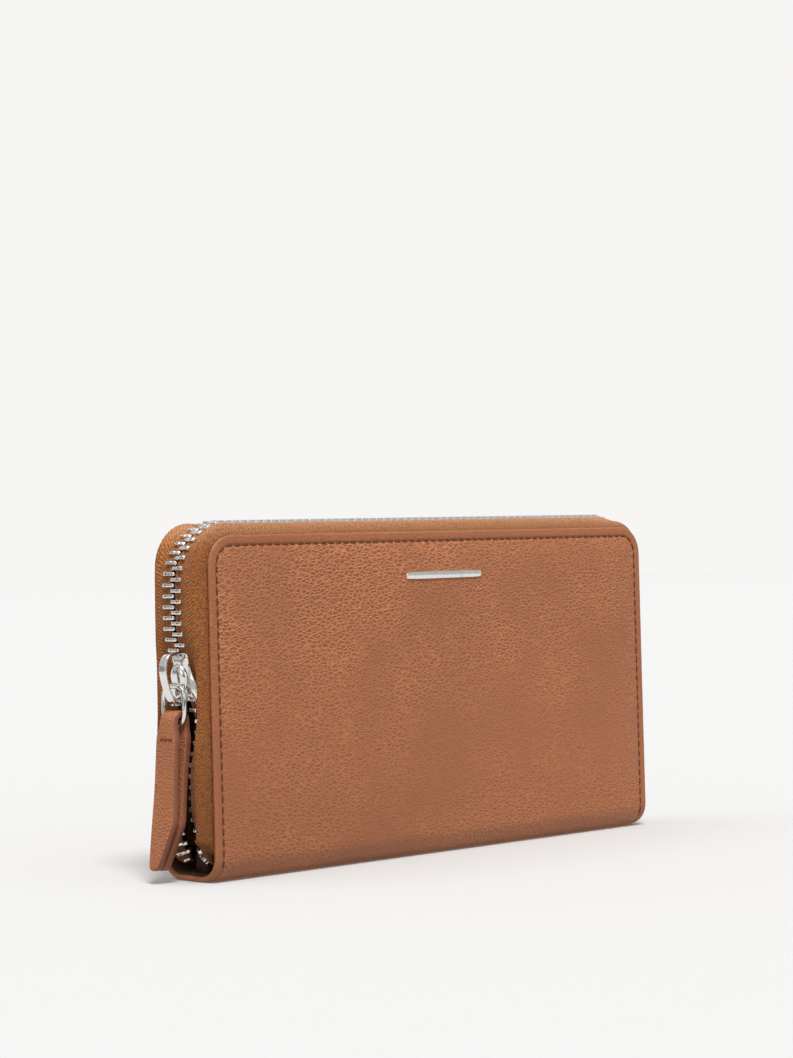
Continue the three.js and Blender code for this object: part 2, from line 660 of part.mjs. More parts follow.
// ---------------------------------------------------------------- assembly
for (const [side, prefix] of [[-1, "front"], [1, "back"]]) {
  buildCover(side, prefix);
  add(wallet, `${prefix}_zip_tape`, sweep(tapeSection, side, pathStops()), tape);
  buildRow(side, `${prefix}_zip_teeth`);
  buildStop(side, -1, `${prefix}_zip_stop_left`);
  buildStop(side, 1, `${prefix}_zip_stop_right`);
}
buildSpine();
buildSlider();
buildBridge();
buildRing();
buildTab();
buildGussets();
buildCoinPocket();
buildEmblem();

export default wallet;
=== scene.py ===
# %% [markdown]
# # A zip-around wallet in leather
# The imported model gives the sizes, the places and the joints. Everything that shows is made again here,
# in the same frame, as a finer piece: the pebbled leather covers, the woven zip tapes, every metal tooth,
# the slider with its ring and leather pull, and the fabric and pockets inside.

# %% Load the frame
import bmesh
import bpy
import json
import math
import numpy as np
from mathutils import Matrix, Vector


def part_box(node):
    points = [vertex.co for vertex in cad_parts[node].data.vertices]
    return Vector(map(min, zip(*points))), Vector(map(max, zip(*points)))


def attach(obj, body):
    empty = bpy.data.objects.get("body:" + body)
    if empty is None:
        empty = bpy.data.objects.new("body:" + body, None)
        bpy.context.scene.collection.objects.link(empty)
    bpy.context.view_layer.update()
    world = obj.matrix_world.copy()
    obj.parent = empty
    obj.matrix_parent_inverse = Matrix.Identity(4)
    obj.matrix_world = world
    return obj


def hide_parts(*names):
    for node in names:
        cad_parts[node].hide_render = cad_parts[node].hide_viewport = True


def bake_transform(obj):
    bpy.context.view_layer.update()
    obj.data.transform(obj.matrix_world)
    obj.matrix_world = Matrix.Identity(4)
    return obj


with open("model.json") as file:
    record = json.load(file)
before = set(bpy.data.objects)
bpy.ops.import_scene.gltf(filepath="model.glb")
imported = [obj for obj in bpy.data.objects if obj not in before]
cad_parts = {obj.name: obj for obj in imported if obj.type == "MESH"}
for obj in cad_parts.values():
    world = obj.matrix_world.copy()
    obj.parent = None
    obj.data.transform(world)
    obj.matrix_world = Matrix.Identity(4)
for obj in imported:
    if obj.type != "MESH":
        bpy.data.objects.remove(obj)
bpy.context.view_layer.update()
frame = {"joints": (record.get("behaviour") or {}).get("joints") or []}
mm = 0.001
TAU = 2 * math.pi


def span(node):
    """The low and the high corner of a plain solid, in mm."""
    return [np.array(corner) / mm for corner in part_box(node)]


leather_low, leather_high = span("front_cover_leather")
half_width = leather_high[0]
top = leather_high[2]
half_depth = -leather_low[1]
covers = ((-1, "front"), (1, "back"))
print(f"cover {2 * half_width:.1f} mm wide, {top:.1f} mm high, half depth {half_depth:.1f}")

# %% [markdown]
# ## Camera and light
# The wallet is seen from its front left corner, almost level, with a long lens. The light comes mostly from
# above and a little from the left, and a pale card behind joins the pale floor without a line. Polished
# metal only looks like metal when it has something bright and something dark to reflect, so light and dark
# cards stand round it that only reflections see.

# %% Camera
scene = bpy.context.scene
scene.view_settings.view_transform = "Standard"
turn, pitch, roll = math.radians(45.3), math.radians(0.05), math.radians(-1.05)
eye = Vector((-0.5990, -0.5847, 0.0970))
forward = Vector((math.sin(turn) * math.cos(pitch), math.cos(turn) * math.cos(pitch), -math.sin(pitch)))
level_right = Vector((math.cos(turn), -math.sin(turn), 0))
level_up = level_right.cross(forward)
right = math.cos(roll) * level_right + math.sin(roll) * level_up
up = right.cross(forward)
sensor_width = 36.0
lens_share = 2787 / 1058  # the lens's length against the picture's longer side
lens = bpy.data.cameras.new("camera")
lens.sensor_width = sensor_width
lens.lens = sensor_width * lens_share
camera = bpy.data.objects.new("camera", lens)
scene.collection.objects.link(camera)
camera.matrix_world = Matrix.Translation(eye) @ Matrix((right, up, -forward)).transposed().to_4x4()
scene.camera = camera
print("camera looks along", [round(c, 3) for c in forward], "with a lens of", round(lens.lens, 1), "mm")

# %% Light, backdrop and floor
backdrop = (0.925, 0.917, 0.902, 1)
world = bpy.data.worlds.new("studio")
world.use_nodes = True
sky = world.node_tree.nodes["Background"].inputs
sky["Color"].default_value = backdrop
sky["Strength"].default_value = 0.6
scene.world = world


def sun(name, towards, strength, spread):
    light = bpy.data.lights.new(name, "SUN")
    light.energy = strength
    light.angle = math.radians(spread)
    lamp = bpy.data.objects.new(name, light)
    scene.collection.objects.link(lamp)
    lamp.rotation_euler = Vector(towards).to_track_quat("-Z", "Y").to_euler()


sun("key_light", (0.25, 0.41, -0.88), 2.8, 18)
sun("back_light", (0.35, -0.3, -0.88), 0.4, 30)


def card(name, centre, facing, width, height, shade, glow=0.0):
    mesh = bpy.data.meshes.new(name)
    w, h = width / 2, height / 2
    mesh.from_pydata([(-w, -h, 0), (w, -h, 0), (w, h, 0), (-w, h, 0)], [], [(0, 1, 2, 3)])
    board = bpy.data.objects.new(name, mesh)
    scene.collection.objects.link(board)
    board.location = centre
    board.rotation_euler = Vector(facing).to_track_quat("Z", "Y").to_euler()
    paint = bpy.data.materials.new(name)
    paint.use_nodes = True
    looks = {"Base Color": (shade, shade, shade, 1), "Roughness": 1, "Specular IOR Level": 0}
    looks |= {"Emission Color": backdrop, "Emission Strength": glow}
    for socket, value in looks.items():
        paint.node_tree.nodes["Principled BSDF"].inputs[socket].default_value = value
    mesh.materials.append(paint)
    return board


def only_reflected(thing):
    thing.visible_camera = thing.visible_diffuse = thing.visible_shadow = thing.visible_transmission = False


near_black = 0.02
for name, centre, facing, width, height, glow in (
    ("dark_card_left", (-0.9, 0.2, 0.3), (1, 0, 0), 0.3, 0.6, 0.0),
    ("dark_card_right", (0.1, -0.9, 0.0), (0, 1, 0), 0.35, 0.3, 0.0),
    ("dark_card_front", (-0.75, -0.95, 0.25), (0.5, 1, -0.2), 0.25, 0.45, 0.0),
    ("dark_card_low", (-0.5, -0.45, 0.03), (1, 0.8, 0.2), 0.6, 0.06, 0.0),
    ("grey_card_back", (-0.5, 0.4, 0.02), (0.7, -0.7, 0.1), 0.5, 0.24, 0.3),
    ("light_card_top", (-0.1, -0.2, 0.9), (0, 0, -1), 1.1, 0.8, 1.4),
    ("light_card_left", (-0.95, -0.35, 0.4), (1, 0.3, -0.3), 0.4, 0.5, 1.5),
    ("light_card_front", (-0.1, -1.0, 0.35), (0, 1, -0.2), 0.7, 0.5, 1.3),
):
    only_reflected(card(name, centre, facing, width, height, near_black, glow))

just_below = -0.0002
card("floor", (0, 0, just_below), (0, 0, 1), 12, 12, 0.62, 0.03).visible_diffuse = False
card("backdrop_card", (3, 3, 1), (-1, -1, 0), 12, 8, 0.0, 1.0).visible_diffuse = False
print("floor, backdrop and eight cards in place")

# %% [markdown]
# ## Shader maths
# A finish is a small sum of patterns. Wrapping a socket in a class lets those sums be written as ordinary
# Python, and one method makes every other node, so the finishes below stay short enough to read.


# %% A finish and its wires
class Wire:
    """A node's output that can be added, scaled and compared in Python."""

    def __init__(self, finish, socket):
        self.finish, self.socket = finish, socket

    def maths(self, operation, *others):
        return self.finish.node("ShaderNodeMath", {"operation": operation}, [self, *others])

    def __add__(self, other):
        return self.maths("ADD", other)

    def __mul__(self, other):
        return self.maths("MULTIPLY", other)

    def __rsub__(self, other):
        return self.finish.node("ShaderNodeMath", {"operation": "SUBTRACT"}, [other, self])

    __radd__, __rmul__ = __add__, __mul__

    def sine(self, pitch):
        return (self * (TAU / pitch)).maths("SINE")

    def wave(self, pitch):
        """A wave between 0 and 1."""
        return self.sine(pitch) * 0.5 + 0.5

    def between(self, low, high):
        """0 below low, 1 above high and smooth between them."""
        values = {"Value": self, "From Min": low, "From Max": high}
        return self.finish.node("ShaderNodeMapRange", {"interpolation_type": "SMOOTHSTEP"}, values)


class Finish:
    """A material under construction."""

    def __init__(self, name, roughness=0.5, metallic=0.0, **fixed):
        self.material = bpy.data.materials.new(name)
        self.material.use_nodes = True
        self.tree = self.material.node_tree
        self.shader = self.tree.nodes["Principled BSDF"]
        self.shader.inputs["Roughness"].default_value = roughness
        self.shader.inputs["Metallic"].default_value = metallic
        for socket, value in fixed.items():
            self.shader.inputs[socket.replace("_", " ")].default_value = value

    def node(self, kind, settings=None, values=None, output=0):
        made = self.tree.nodes.new(kind)
        for key, value in (settings or {}).items():
            setattr(made, key, value)
        pairs = values.items() if isinstance(values, dict) else enumerate(values or [])
        for key, value in pairs:
            if isinstance(value, Wire):
                self.tree.links.new(value.socket, made.inputs[key])
            else:
                made.inputs[key].default_value = value
        return Wire(self, made.outputs[output])

    def place(self):
        return self.node("ShaderNodeTexCoord", output="Object")

    def lie(self):
        """The measures that a mesh carries for its own finish, in metres."""
        return self.node("ShaderNodeAttribute", {"attribute_name": "lie"}, output="Vector")

    def axis(self, where, number):
        return self.node("ShaderNodeSeparateXYZ", None, [where], output=number)

    def vector(self, operation, values, output=0):
        return self.node("ShaderNodeVectorMath", {"operation": operation}, values, output)

    def walls(self, where, per_metre):
        """The distance to the nearest wall between cells."""
        values = {"Vector": where, "Scale": per_metre}
        return self.node("ShaderNodeTexVoronoi", {"feature": "DISTANCE_TO_EDGE"}, values)

    def mix(self, share, first, second):
        return self.node("ShaderNodeMix", {"data_type": "RGBA"}, {0: share, 6: first, 7: second}, output=2)

    def noise(self, where, per_metre, detail=2.0, output=0):
        values = {"Vector": where, "Scale": per_metre, "Detail": detail}
        return self.node("ShaderNodeTexNoise", None, values, output)

    def feed(self, socket, wire):
        self.tree.links.new(wire.socket, self.shader.inputs[socket])

    def relief(self, height, depth, strength=1.0):
        values = {"Height": height, "Distance": depth, "Strength": strength}
        self.feed("Normal", self.node("ShaderNodeBump", None, values))


def tone(colour, factor):
    return tuple(min(c * factor, 1) for c in colour[:3]) + (1,)


# %% [markdown]
# ## Leather
# Pebbled leather is a skin of small cushions about a millimetre across, parted by fine creases. A cell
# pattern gives both: the distance to a cell's wall is low in the creases and rises to a rounded top. The
# pattern is bent by noise first, so that no two cushions match. Shade is painted into the creases as a
# darker colour, and a highlight is painted paler along the edge of a cushion that catches the light.

# %% Pebbled, smooth and painted leather
tan = (0.37, 0.119, 0.039, 1)


sway_per_metre, sway_size = 330.0, 1.9 * mm  # the noise that bends the cells
cell_stretch = (0.52, 0.52, 1.0)  # cushions are about twice as long as they are high
brow_height = 0.2 * mm  # the lit edge lies this far below a crease
coarse_from, coarse_to = 0.02, 0.09  # the grain grows bolder between these heights, in metres


def pebbled(name, colour, cell=1.0 * mm, depth=0.19 * mm, smoothing=0.0):
    f = Finish(name, roughness=0.5, Specular_IOR_Level=0.5)
    where = f.place()
    sway = f.noise(where, sway_per_metre, 2.5, "Color")
    bent = f.vector("ADD", {0: where, 1: f.vector("SCALE", {0: sway, "Scale": sway_size})})
    drawn = f.vector("MULTIPLY", {0: bent, 1: cell_stretch})
    wall = f.walls(drawn, 1 / cell)
    brow = f.walls(f.vector("ADD", {0: drawn, 1: (0, 0, brow_height)}), 1 / cell)
    small = f.walls(bent, 2.2 / cell)
    cushion = (wall.between(0.0, 0.42) + 0.0001).maths("POWER", 0.85)
    fine = small.between(0.0, 0.3)
    bold = 0.6 + 0.5 * f.axis(where, 2).between(coarse_from, coarse_to)
    patches = f.noise(where, 38.0).between(0.3, 0.7)
    pores = f.noise(where, 9000.0, 1.0)
    kept = 1 - smoothing
    height = cushion * bold * (0.55 + 0.45 * patches) * kept + 0.25 * fine * bold + 0.05 * pores
    # crease darkens the colour as painted shade in the creases, and also makes them rougher.
    crease = (1 - wall.between(0.0, 0.13)) * bold * kept
    # lit is a painted highlight: the edge of each cushion that catches the light is painted paler.
    lit = (1 - brow.between(0.0, 0.14)) * bold * (0.25 + 0.75 * patches) * kept
    # Painted side light: the leather is painted lighter towards its right end. The slow noise is random
    # tone.
    painted_side_light = f.axis(where, 0).between(-0.09, 0.09)
    wear_and_painted_light = f.noise(where, 22.0).between(0.35, 0.65) * 0.4 + painted_side_light * 0.6
    broad = f.mix(wear_and_painted_light, tone(colour, 0.87), tone(colour, 1.01))
    painted_highlight_colour = tuple(1.4 * c + extra for c, extra in zip(colour, (0.09, 0.048, 0.02))) + (1,)
    with_painted_highlight = f.mix(lit * 0.95, broad, painted_highlight_colour)
    f.feed("Base Color", f.mix(crease * 0.12, with_painted_highlight, tone(colour, 0.64)))
    f.feed("Roughness", 0.42 + 0.16 * crease + 0.1 * fine)
    f.relief(height, depth, 1.0)
    return f.material


outer_leather = pebbled("outer_leather", tan)
edge_leather = pebbled("turned_edge_leather", tone(tan, 0.97), 0.9 * mm, 0.1 * mm, 0.55)
tab_leather = pebbled("pull_leather", tone(tan, 1.12), 0.9 * mm, 0.28 * mm, 0.0)
pocket_leather = pebbled("pocket_leather", tone(tan, 0.9), 0.8 * mm, 0.06 * mm, 0.5)


def painted_edge(name, colour):
    f = Finish(name, roughness=0.42, Specular_IOR_Level=0.45)
    where = f.place()
    lumps = f.noise(where, 900.0, 2.0)
    f.feed("Base Color", f.mix(lumps, tone(colour, 0.85), tone(colour, 1.15)))
    f.relief(lumps, 0.12 * mm, 0.6)
    return f.material


edge_paint = painted_edge("edge_paint", (0.225, 0.078, 0.04, 1))
print("leather finishes ready")

# %% [markdown]
# ## Cloth, thread and metal
# Zip tape is woven in a herringbone: stripes that lean one way, then the other, in narrow columns. The
# meshes carry the distance along and across the tape, so the weave turns the corners with it. Thread is
# a twist of plies, and the metal is polished nickel with faint wear.

# %% Woven tape and plain lining


def herringbone(name, colour, column=4.9 * mm, pitch=1.05 * mm):
    f = Finish(name, roughness=0.85, Sheen_Weight=0.05, Sheen_Roughness=0.5, Specular_IOR_Level=0.2)
    where, lie = f.place(), f.lie()
    along, across = f.axis(lie, 0), f.axis(lie, 1)
    zigzag = (across + 0.9 * mm).maths("PINGPONG", column)
    drift = f.noise(where, 160.0) * (0.8 * mm)
    stripe = (along + 1.5 * zigzag + drift).wave(pitch)
    yarn, yarns = across.wave(0.3 * mm), along.wave(0.5 * mm)
    fuzz = f.noise(where, 1900.0, 3.0).between(0.3, 0.7)
    shade = stripe * (0.2 + 0.5 * fuzz) + fuzz * 0.45 + yarn * yarns * 0.15
    height_up = f.axis(where, 2)
    # Painted shade: the tape is painted darker towards its foot, up to 65 mm, where the pull shades it.
    foot = 1 - height_up.between(0.0, 0.065)
    woven = f.mix(shade, tone(colour, 0.42), tone(colour, 1.5))
    lower = f.mix(foot * 0.62, woven, tone(colour, 0.42))
    # Painted highlight: the tape along the top of the wallet is painted paler, where the light from above
    # falls.
    painted_top_light = height_up.between(0.0905, 0.098)
    f.feed("Base Color", f.mix(painted_top_light * (0.25 + 0.5 * fuzz), lower, (0.6, 0.3, 0.15, 1)))
    f.feed("Roughness", 0.78 + 0.2 * fuzz)
    f.relief(stripe + 0.6 * yarn * yarns + 0.7 * fuzz, 0.16 * mm, 0.9)
    return f.material


def plain_weave(name, colour, pitch=0.42 * mm, sheen=0.3):
    f = Finish(name, roughness=0.8, Sheen_Weight=sheen, Sheen_Roughness=0.4, Specular_IOR_Level=0.25)
    where = f.place()
    x, y, z = (f.axis(where, i) for i in range(3))
    over = (x + y).sine(pitch) * z.sine(pitch) * 0.5 + 0.5
    fuzz = f.noise(where, 3000.0, 2.0)
    shade = over * 0.6 + fuzz * 0.4
    f.feed("Base Color", f.mix(shade, tone(colour, 0.7), tone(colour, 1.2)))
    f.feed("Roughness", 0.7 + 0.2 * fuzz)
    f.relief(over + 0.4 * fuzz, 0.08 * mm, 0.7)
    return f.material


tape_cloth = herringbone("zip_tape_cloth", (0.36, 0.124, 0.034, 1))
coin_tape_cloth = herringbone("coin_zip_tape_cloth", (0.2, 0.085, 0.035, 1), 1.2 * mm, 0.45 * mm)
lining_cloth = plain_weave("lining_cloth", (0.075, 0.031, 0.016, 1), sheen=0.05)
board_pulp = plain_weave("stiffener_board", (0.3, 0.24, 0.18, 1), 0.9 * mm, 0.0)

# %% Thread, metal and nylon


def twisted_thread(name, colour):
    f = Finish(name, roughness=0.6, Specular_IOR_Level=0.25)
    where = f.place()
    x, y, z = (f.axis(where, i) for i in range(3))
    ply = (x + y + z).wave(0.45 * mm)
    f.feed("Base Color", f.mix(ply, tone(colour, 0.6), tone(colour, 1.1)))
    f.feed("Roughness", 0.5 + 0.2 * ply)
    f.relief(ply, 0.05 * mm, 0.8)
    return f.material


dimple_place = (0, 1.35 * mm, 1.2 * mm)  # in a tooth's own measures


def polished(name, colour, roughness, dimple=0.0):
    f = Finish(name, roughness=roughness, metallic=1.0)
    where = f.place()
    wear = f.noise(where, 700.0, 4.0).between(0.45, 0.75)
    scratches = f.noise(where, 5200.0, 2.0)
    wear_and_painted_light = f.mix(wear, colour, tone(colour, 0.86))
    if dimple:
        # The pressed hollow is found from the tooth's own measures, which its mesh carries, and is painted
        # dark there as shade.
        hollow = f.vector("DISTANCE", {0: f.lie(), 1: dimple_place}, output=1)
        dark = 1 - hollow.between(dimple * 0.6, dimple)
        wear_and_painted_light = f.mix(dark, wear_and_painted_light, tone(colour, 0.3))
    f.feed("Base Color", wear_and_painted_light)
    f.feed("Roughness", roughness + 0.12 * wear)
    f.relief(scratches, 0.006 * mm, 0.5)
    return f.material


thread = twisted_thread("leather_thread", (0.19, 0.052, 0.018, 1))
nickel = polished("polished_nickel", (0.80, 0.79, 0.765, 1), 0.10)
tooth_metal = polished("tooth_metal", (0.78, 0.765, 0.735, 1), 0.17, dimple=0.36 * mm)
coil_nylon = twisted_thread("coil_nylon", (0.16, 0.075, 0.035, 1))
print("cloth, thread and metal finishes ready")

# %% [markdown]
# ## Mesh helpers
# Nearly every piece is a run of cross-sections joined into a skin. One helper turns a grid of points into
# a mesh, closing it round or along where asked, and the others build sections with rounded corners.


# %% Skins from grids of points
def new_piece(name, verts, faces, finish, sharp=38):
    mesh = bpy.data.meshes.new(name)
    mesh.from_pydata([tuple(v) for v in np.asarray(verts, float) * mm], [], faces)
    mesh.validate()
    mesh.shade_smooth()
    if sharp:
        mesh.set_sharp_from_angle(angle=math.radians(sharp))
    for one in finish if isinstance(finish, (list, tuple)) else [finish]:
        mesh.materials.append(one)
    piece = bpy.data.objects.new(name, mesh)
    scene.collection.objects.link(piece)
    return piece


def grid_faces(rows, columns, round_rows=False, round_columns=False, start=0, flip=False):
    faces = []
    for i in range(rows if round_rows else rows - 1):
        for j in range(columns if round_columns else columns - 1):
            a, b = start + i * columns, start + ((i + 1) % rows) * columns
            k = (j + 1) % columns
            quad = (a + j, a + k, b + k, b + j)
            faces.append(quad[::-1] if flip else quad)
    return faces


def loft(sections, round_rows=False, caps=True, start=0):
    """Vertices and faces of a tube through closed sections, each an array of points in mm."""
    sections = np.asarray(sections, float)
    rows, columns = sections.shape[:2]
    faces = grid_faces(rows, columns, round_rows, True, start)
    if caps and not round_rows:
        faces.append(tuple(start + j for j in range(columns))[::-1])
        faces.append(tuple(start + (rows - 1) * columns + j for j in range(columns)))
    return sections.reshape(-1, 3), faces


def facing_out(piece, gap=0.0):
    """Turns a closed piece's faces outwards, after joining the points that lie within a gap."""
    work = bmesh.new()
    work.from_mesh(piece.data)
    if gap:
        bmesh.ops.remove_doubles(work, verts=work.verts, dist=gap)
    bmesh.ops.recalc_face_normals(work, faces=work.faces)
    work.to_mesh(piece.data)
    work.free()
    return piece


def lofted(name, sections, finish, round_rows=False, sharp=38):
    verts, faces = loft(sections, round_rows)
    return facing_out(new_piece(name, verts, faces, finish, sharp))


def rounded_bar(width, thick, radius, steps=3):
    """A rectangle with rounded corners, centred, as (width, thickness) points."""
    points = []
    for quarter, (sx, sy) in enumerate(((1, 1), (-1, 1), (-1, -1), (1, -1))):
        for k in range(steps + 1):
            a = math.pi / 2 * (quarter + k / steps)
            centre = (sx * (width / 2 - radius), sy * (thick / 2 - radius))
            points.append((centre[0] + radius * math.cos(a), centre[1] + radius * math.sin(a)))
    return np.array(points)


def spline(keys, count):
    """A smooth run through key points."""
    keys = np.asarray(keys, float)
    padded = np.vstack([2 * keys[0] - keys[1], keys, 2 * keys[-1] - keys[-2]])
    out = []
    for t in np.linspace(0, len(keys) - 1, count):
        i = min(int(t), len(keys) - 2)
        f = t - i
        a, b, c, d = padded[i : i + 4]
        square, cube = 2 * a - 5 * b + 4 * c - d, 3 * b - a - 3 * c + d
        out.append(0.5 * (2 * b + (c - a) * f + square * f**2 + cube * f**3))
    return np.array(out)


def directions(line):
    """The unit direction of a run at each of its points."""
    step = np.gradient(line, axis=0)
    return step / np.linalg.norm(step, axis=1)[:, None]


def level_ring(ring, y):
    """A ring of (x, z) points at one place across the wallet."""
    return np.stack([ring[:, 0], np.full(len(ring), y), ring[:, 1]], -1)


def carry(piece, measures):
    """Stores the measures of each point, in metres, where the piece's finish can read them."""
    lie = piece.data.attributes.new("lie", "FLOAT_VECTOR", "POINT")
    lie.data.foreach_set("vector", np.asarray(measures, np.float32).ravel())


def smooth(t):
    t = np.clip(t, 0, 1)
    return t * t * (3 - 2 * t)


def stand_in_for(piece, body, slot, *nodes):
    """The piece rides on a body and is shown in place of the plain solids."""
    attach(piece, body)
    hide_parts(*nodes)
    return piece


# %% [markdown]
# The wallet is a little thinner at the top than at the spine, because the spine is stiff and the top is
# only held by the zip. Every piece of a cover is eased inwards by the same rule, so the layers stay in
# order.

# %% Lean of the covers
lean_at_top = 1.2
lean_free = 5.0


def lean(points):
    points = np.array(points, float)
    y = points[..., 1]
    share = lean_at_top / (half_depth - lean_free) * np.clip(points[..., 2], 0, top) / top
    beyond = np.maximum(np.abs(y) - lean_free, 0)
    points[..., 1] = np.sign(y) * (np.minimum(np.abs(y), lean_free) + beyond * (1 - share))
    return points


# %% [markdown]
# ## Leather covers
# One skin of leather covers the front, turns round the spine and becomes the back. It is cut in two under
# the spine here, one half for each cover. Its edge is turned in and stitched 2.8 mm from the rim, and the
# padding under it makes the panel rise inside the stitches. The mesh follows the rim in rings, so the
# rounded edge and the stitched groove stay even round the corners.

# %% The skin's path and profile
corner = 8.5
spine_radius = 7.0
stitch_inset = 2.8
padding_rise, padding_inset, padding_spread, padding_fade = 1.15, 3.2, 5.2, 24
skin_thick = 1.3
under_edge = spine_radius - (math.pi / 2 * spine_radius + half_depth - spine_radius)


def skin_point(x, s, depth):
    """A point on the front skin: s is the height down to the bend, and goes on round the spine."""
    x, s, depth = np.broadcast_arrays(np.asarray(x, float), s, depth)
    past = np.clip(spine_radius - s, 0, None)
    angle = np.minimum(past / spine_radius, math.pi / 2)
    flat = np.maximum(past - math.pi / 2 * spine_radius, 0)
    ny, nz = -np.cos(angle), -np.sin(angle)
    y = -(half_depth - spine_radius) + spine_radius * ny + flat - depth * ny
    z = np.where(past > 0, spine_radius, s) + spine_radius * nz - depth * nz
    z = np.where(past > 0, z, s)
    return np.stack([x, y, z], -1)


def padding(inset, s):
    """How far the padding lifts the panel, in mm: from inside the stitches, fading out at the foot."""
    rise = 1 - np.exp(-((np.maximum(inset - padding_inset, 0) / padding_spread) ** 1.05))
    return padding_rise * rise * smooth((s - 1) / padding_fade)


edge_profile = [
    (8.0, 1.32), (1.2, 1.32), (0.45, 1.28), (0.12, 1.08), (0, 0.82), (0, 0.52), (0.1, 0.24), (0.32, 0.06),
    (0.7, -0.02), (1.5, -0.06), (2.1, -0.06), (2.4, 0.04), (2.65, 0.3), (2.95, 0.3), (3.2, 0.04),
    (3.5, -0.08),
]
flat_rise = 0.1  # the panel's own rise, before the padding
full_padding = 60.0  # a height where the padding has its whole rise
seam_gap = 1e-6
past_stitches = 0.25  # the turned edge ends this far inside the stitches
outer_from = len(edge_profile) - 1
ring_profile = edge_profile + [(inset, -flat_rise) for inset in (4.0, 4.6, 5.4, 6.3, 7.3, corner)]
insets, depths = np.array(ring_profile).T


def build_skin(name, side):
    heights = np.concatenate([
        np.linspace(top - corner, spine_radius, 34),
        spine_radius - np.linspace(1.2, math.pi / 2 * spine_radius, 9),
        np.linspace(-4.5, under_edge, 3)[1:],
    ])
    columns = np.linspace(-half_width + corner, half_width - corner, 90)
    padded = (np.arange(len(insets)) >= outer_from).astype(float)
    ring_depth = (depths - padding(insets, full_padding) * padded)[None, :]
    verts, faces = [], []

    def patch(points, flip):
        rows, cols = points.shape[:2]
        start = sum(len(v) for v in verts)
        verts.append(points.reshape(-1, 3))
        faces.extend(grid_faces(rows, cols, start=start, flip=flip))

    for end in (-1, 1):
        grid_s, grid_i = np.meshgrid(heights, insets, indexing="ij")
        grid_d = depths[None, :] - padding(grid_i, grid_s) * padded
        patch(skin_point(end * (half_width - grid_i), grid_s, grid_d), flip=end > 0)
        angles = np.linspace(0, math.pi / 2, 13)
        grid_a, grid_i = np.meshgrid(angles, insets, indexing="ij")
        reach = corner - grid_i
        x = end * (half_width - corner + reach * np.cos(grid_a))
        z = top - corner + reach * np.sin(grid_a)
        patch(skin_point(x, z, ring_depth), flip=end < 0)
    grid_x, grid_i = np.meshgrid(columns, insets, indexing="ij")
    patch(skin_point(grid_x, top - grid_i, ring_depth), flip=True)
    grid_s, grid_x = np.meshgrid(heights, columns, indexing="ij")
    inset = np.minimum(half_width - np.abs(grid_x), np.maximum(top - grid_s, corner))
    patch(skin_point(grid_x, grid_s, -flat_rise - padding(inset, grid_s)), flip=True)
    points = lean(np.concatenate(verts))
    points[:, 1] *= -side
    return points, faces


def rim_inset(x, s):
    """How far a point on the skin lies inside the rim, in mm."""
    if s > top - corner and abs(x) > half_width - corner:
        return corner - math.hypot(abs(x) - (half_width - corner), s - (top - corner))
    return min(half_width - abs(x), top - s)


def fold_with_cover(piece):
    """Bakes the piece's placement into its mesh."""
    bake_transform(piece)


for side, prefix in covers:
    points, faces = build_skin(prefix, side)
    skin = new_piece(prefix + "_leather_skin", points, faces, [outer_leather, edge_leather], sharp=0)
    facing_out(skin, seam_gap)
    for face in skin.data.polygons:
        centre = face.center / mm
        if rim_inset(centre.x, centre.z) < stitch_inset + past_stitches:
            face.material_index = 1
    fold_with_cover(skin)
    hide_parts(prefix + "_cover_leather", "spine_leather")
    print(skin.name, len(skin.data.vertices), "points")

# %% [markdown]
# The stitches are real loops of thread, 3 mm apart, laid in the groove. Each is a short capsule that dips
# into the leather at both ends.


# %% Stitches round the rim
def rim_place(distance, inset, low):
    """Where a line inset from the rim is, after a distance from its lower left end: x, s and direction."""
    radius = corner - inset
    side_run = top - corner - low
    arc_run = math.pi / 2 * radius
    top_run = 2 * (half_width - corner)
    whole = 2 * (side_run + arc_run) + top_run
    if distance > whole / 2:
        x, s, dx, ds = rim_place(whole - distance, inset, low)
        return -x, s, dx, -ds
    if distance < side_run:
        return -half_width + inset, low + distance, 0.0, 1.0
    a = (distance - side_run) / radius
    if a < math.pi / 2:
        x, s = -half_width + corner - radius * math.cos(a), top - corner + radius * math.sin(a)
        return x, s, math.sin(a), math.cos(a)
    return -half_width + corner + distance - side_run - arc_run, top - inset, 1.0, 0.0


def capsule(length, radius, dip):
    """Points of one stitch along +X, as rings that shrink and dip at both ends."""
    rings = []
    for t in np.linspace(-1, 1, 9):
        r = radius * math.sqrt(max(1 - t**6, 0.02))
        sink = dip * t**4
        a = np.linspace(0, TAU, 8, endpoint=False)
        rings.append(np.stack([np.full(8, t * length / 2), r * np.cos(a), r * np.sin(a) - sink], -1))
    return np.array(rings)


def copies(template, frames):
    """One mesh of a lofted template placed in many frames of (origin, x, y, z)."""
    verts, faces = [], []
    base_verts, base_faces = loft(template)
    for origin, x, y, z in frames:
        start = len(verts) * len(base_verts)
        verts.append(origin + base_verts[:, :1] * x + base_verts[:, 1:2] * y + base_verts[:, 2:] * z)
        faces.extend(tuple(start + k for k in face) for face in base_faces)
    return np.concatenate(verts), faces


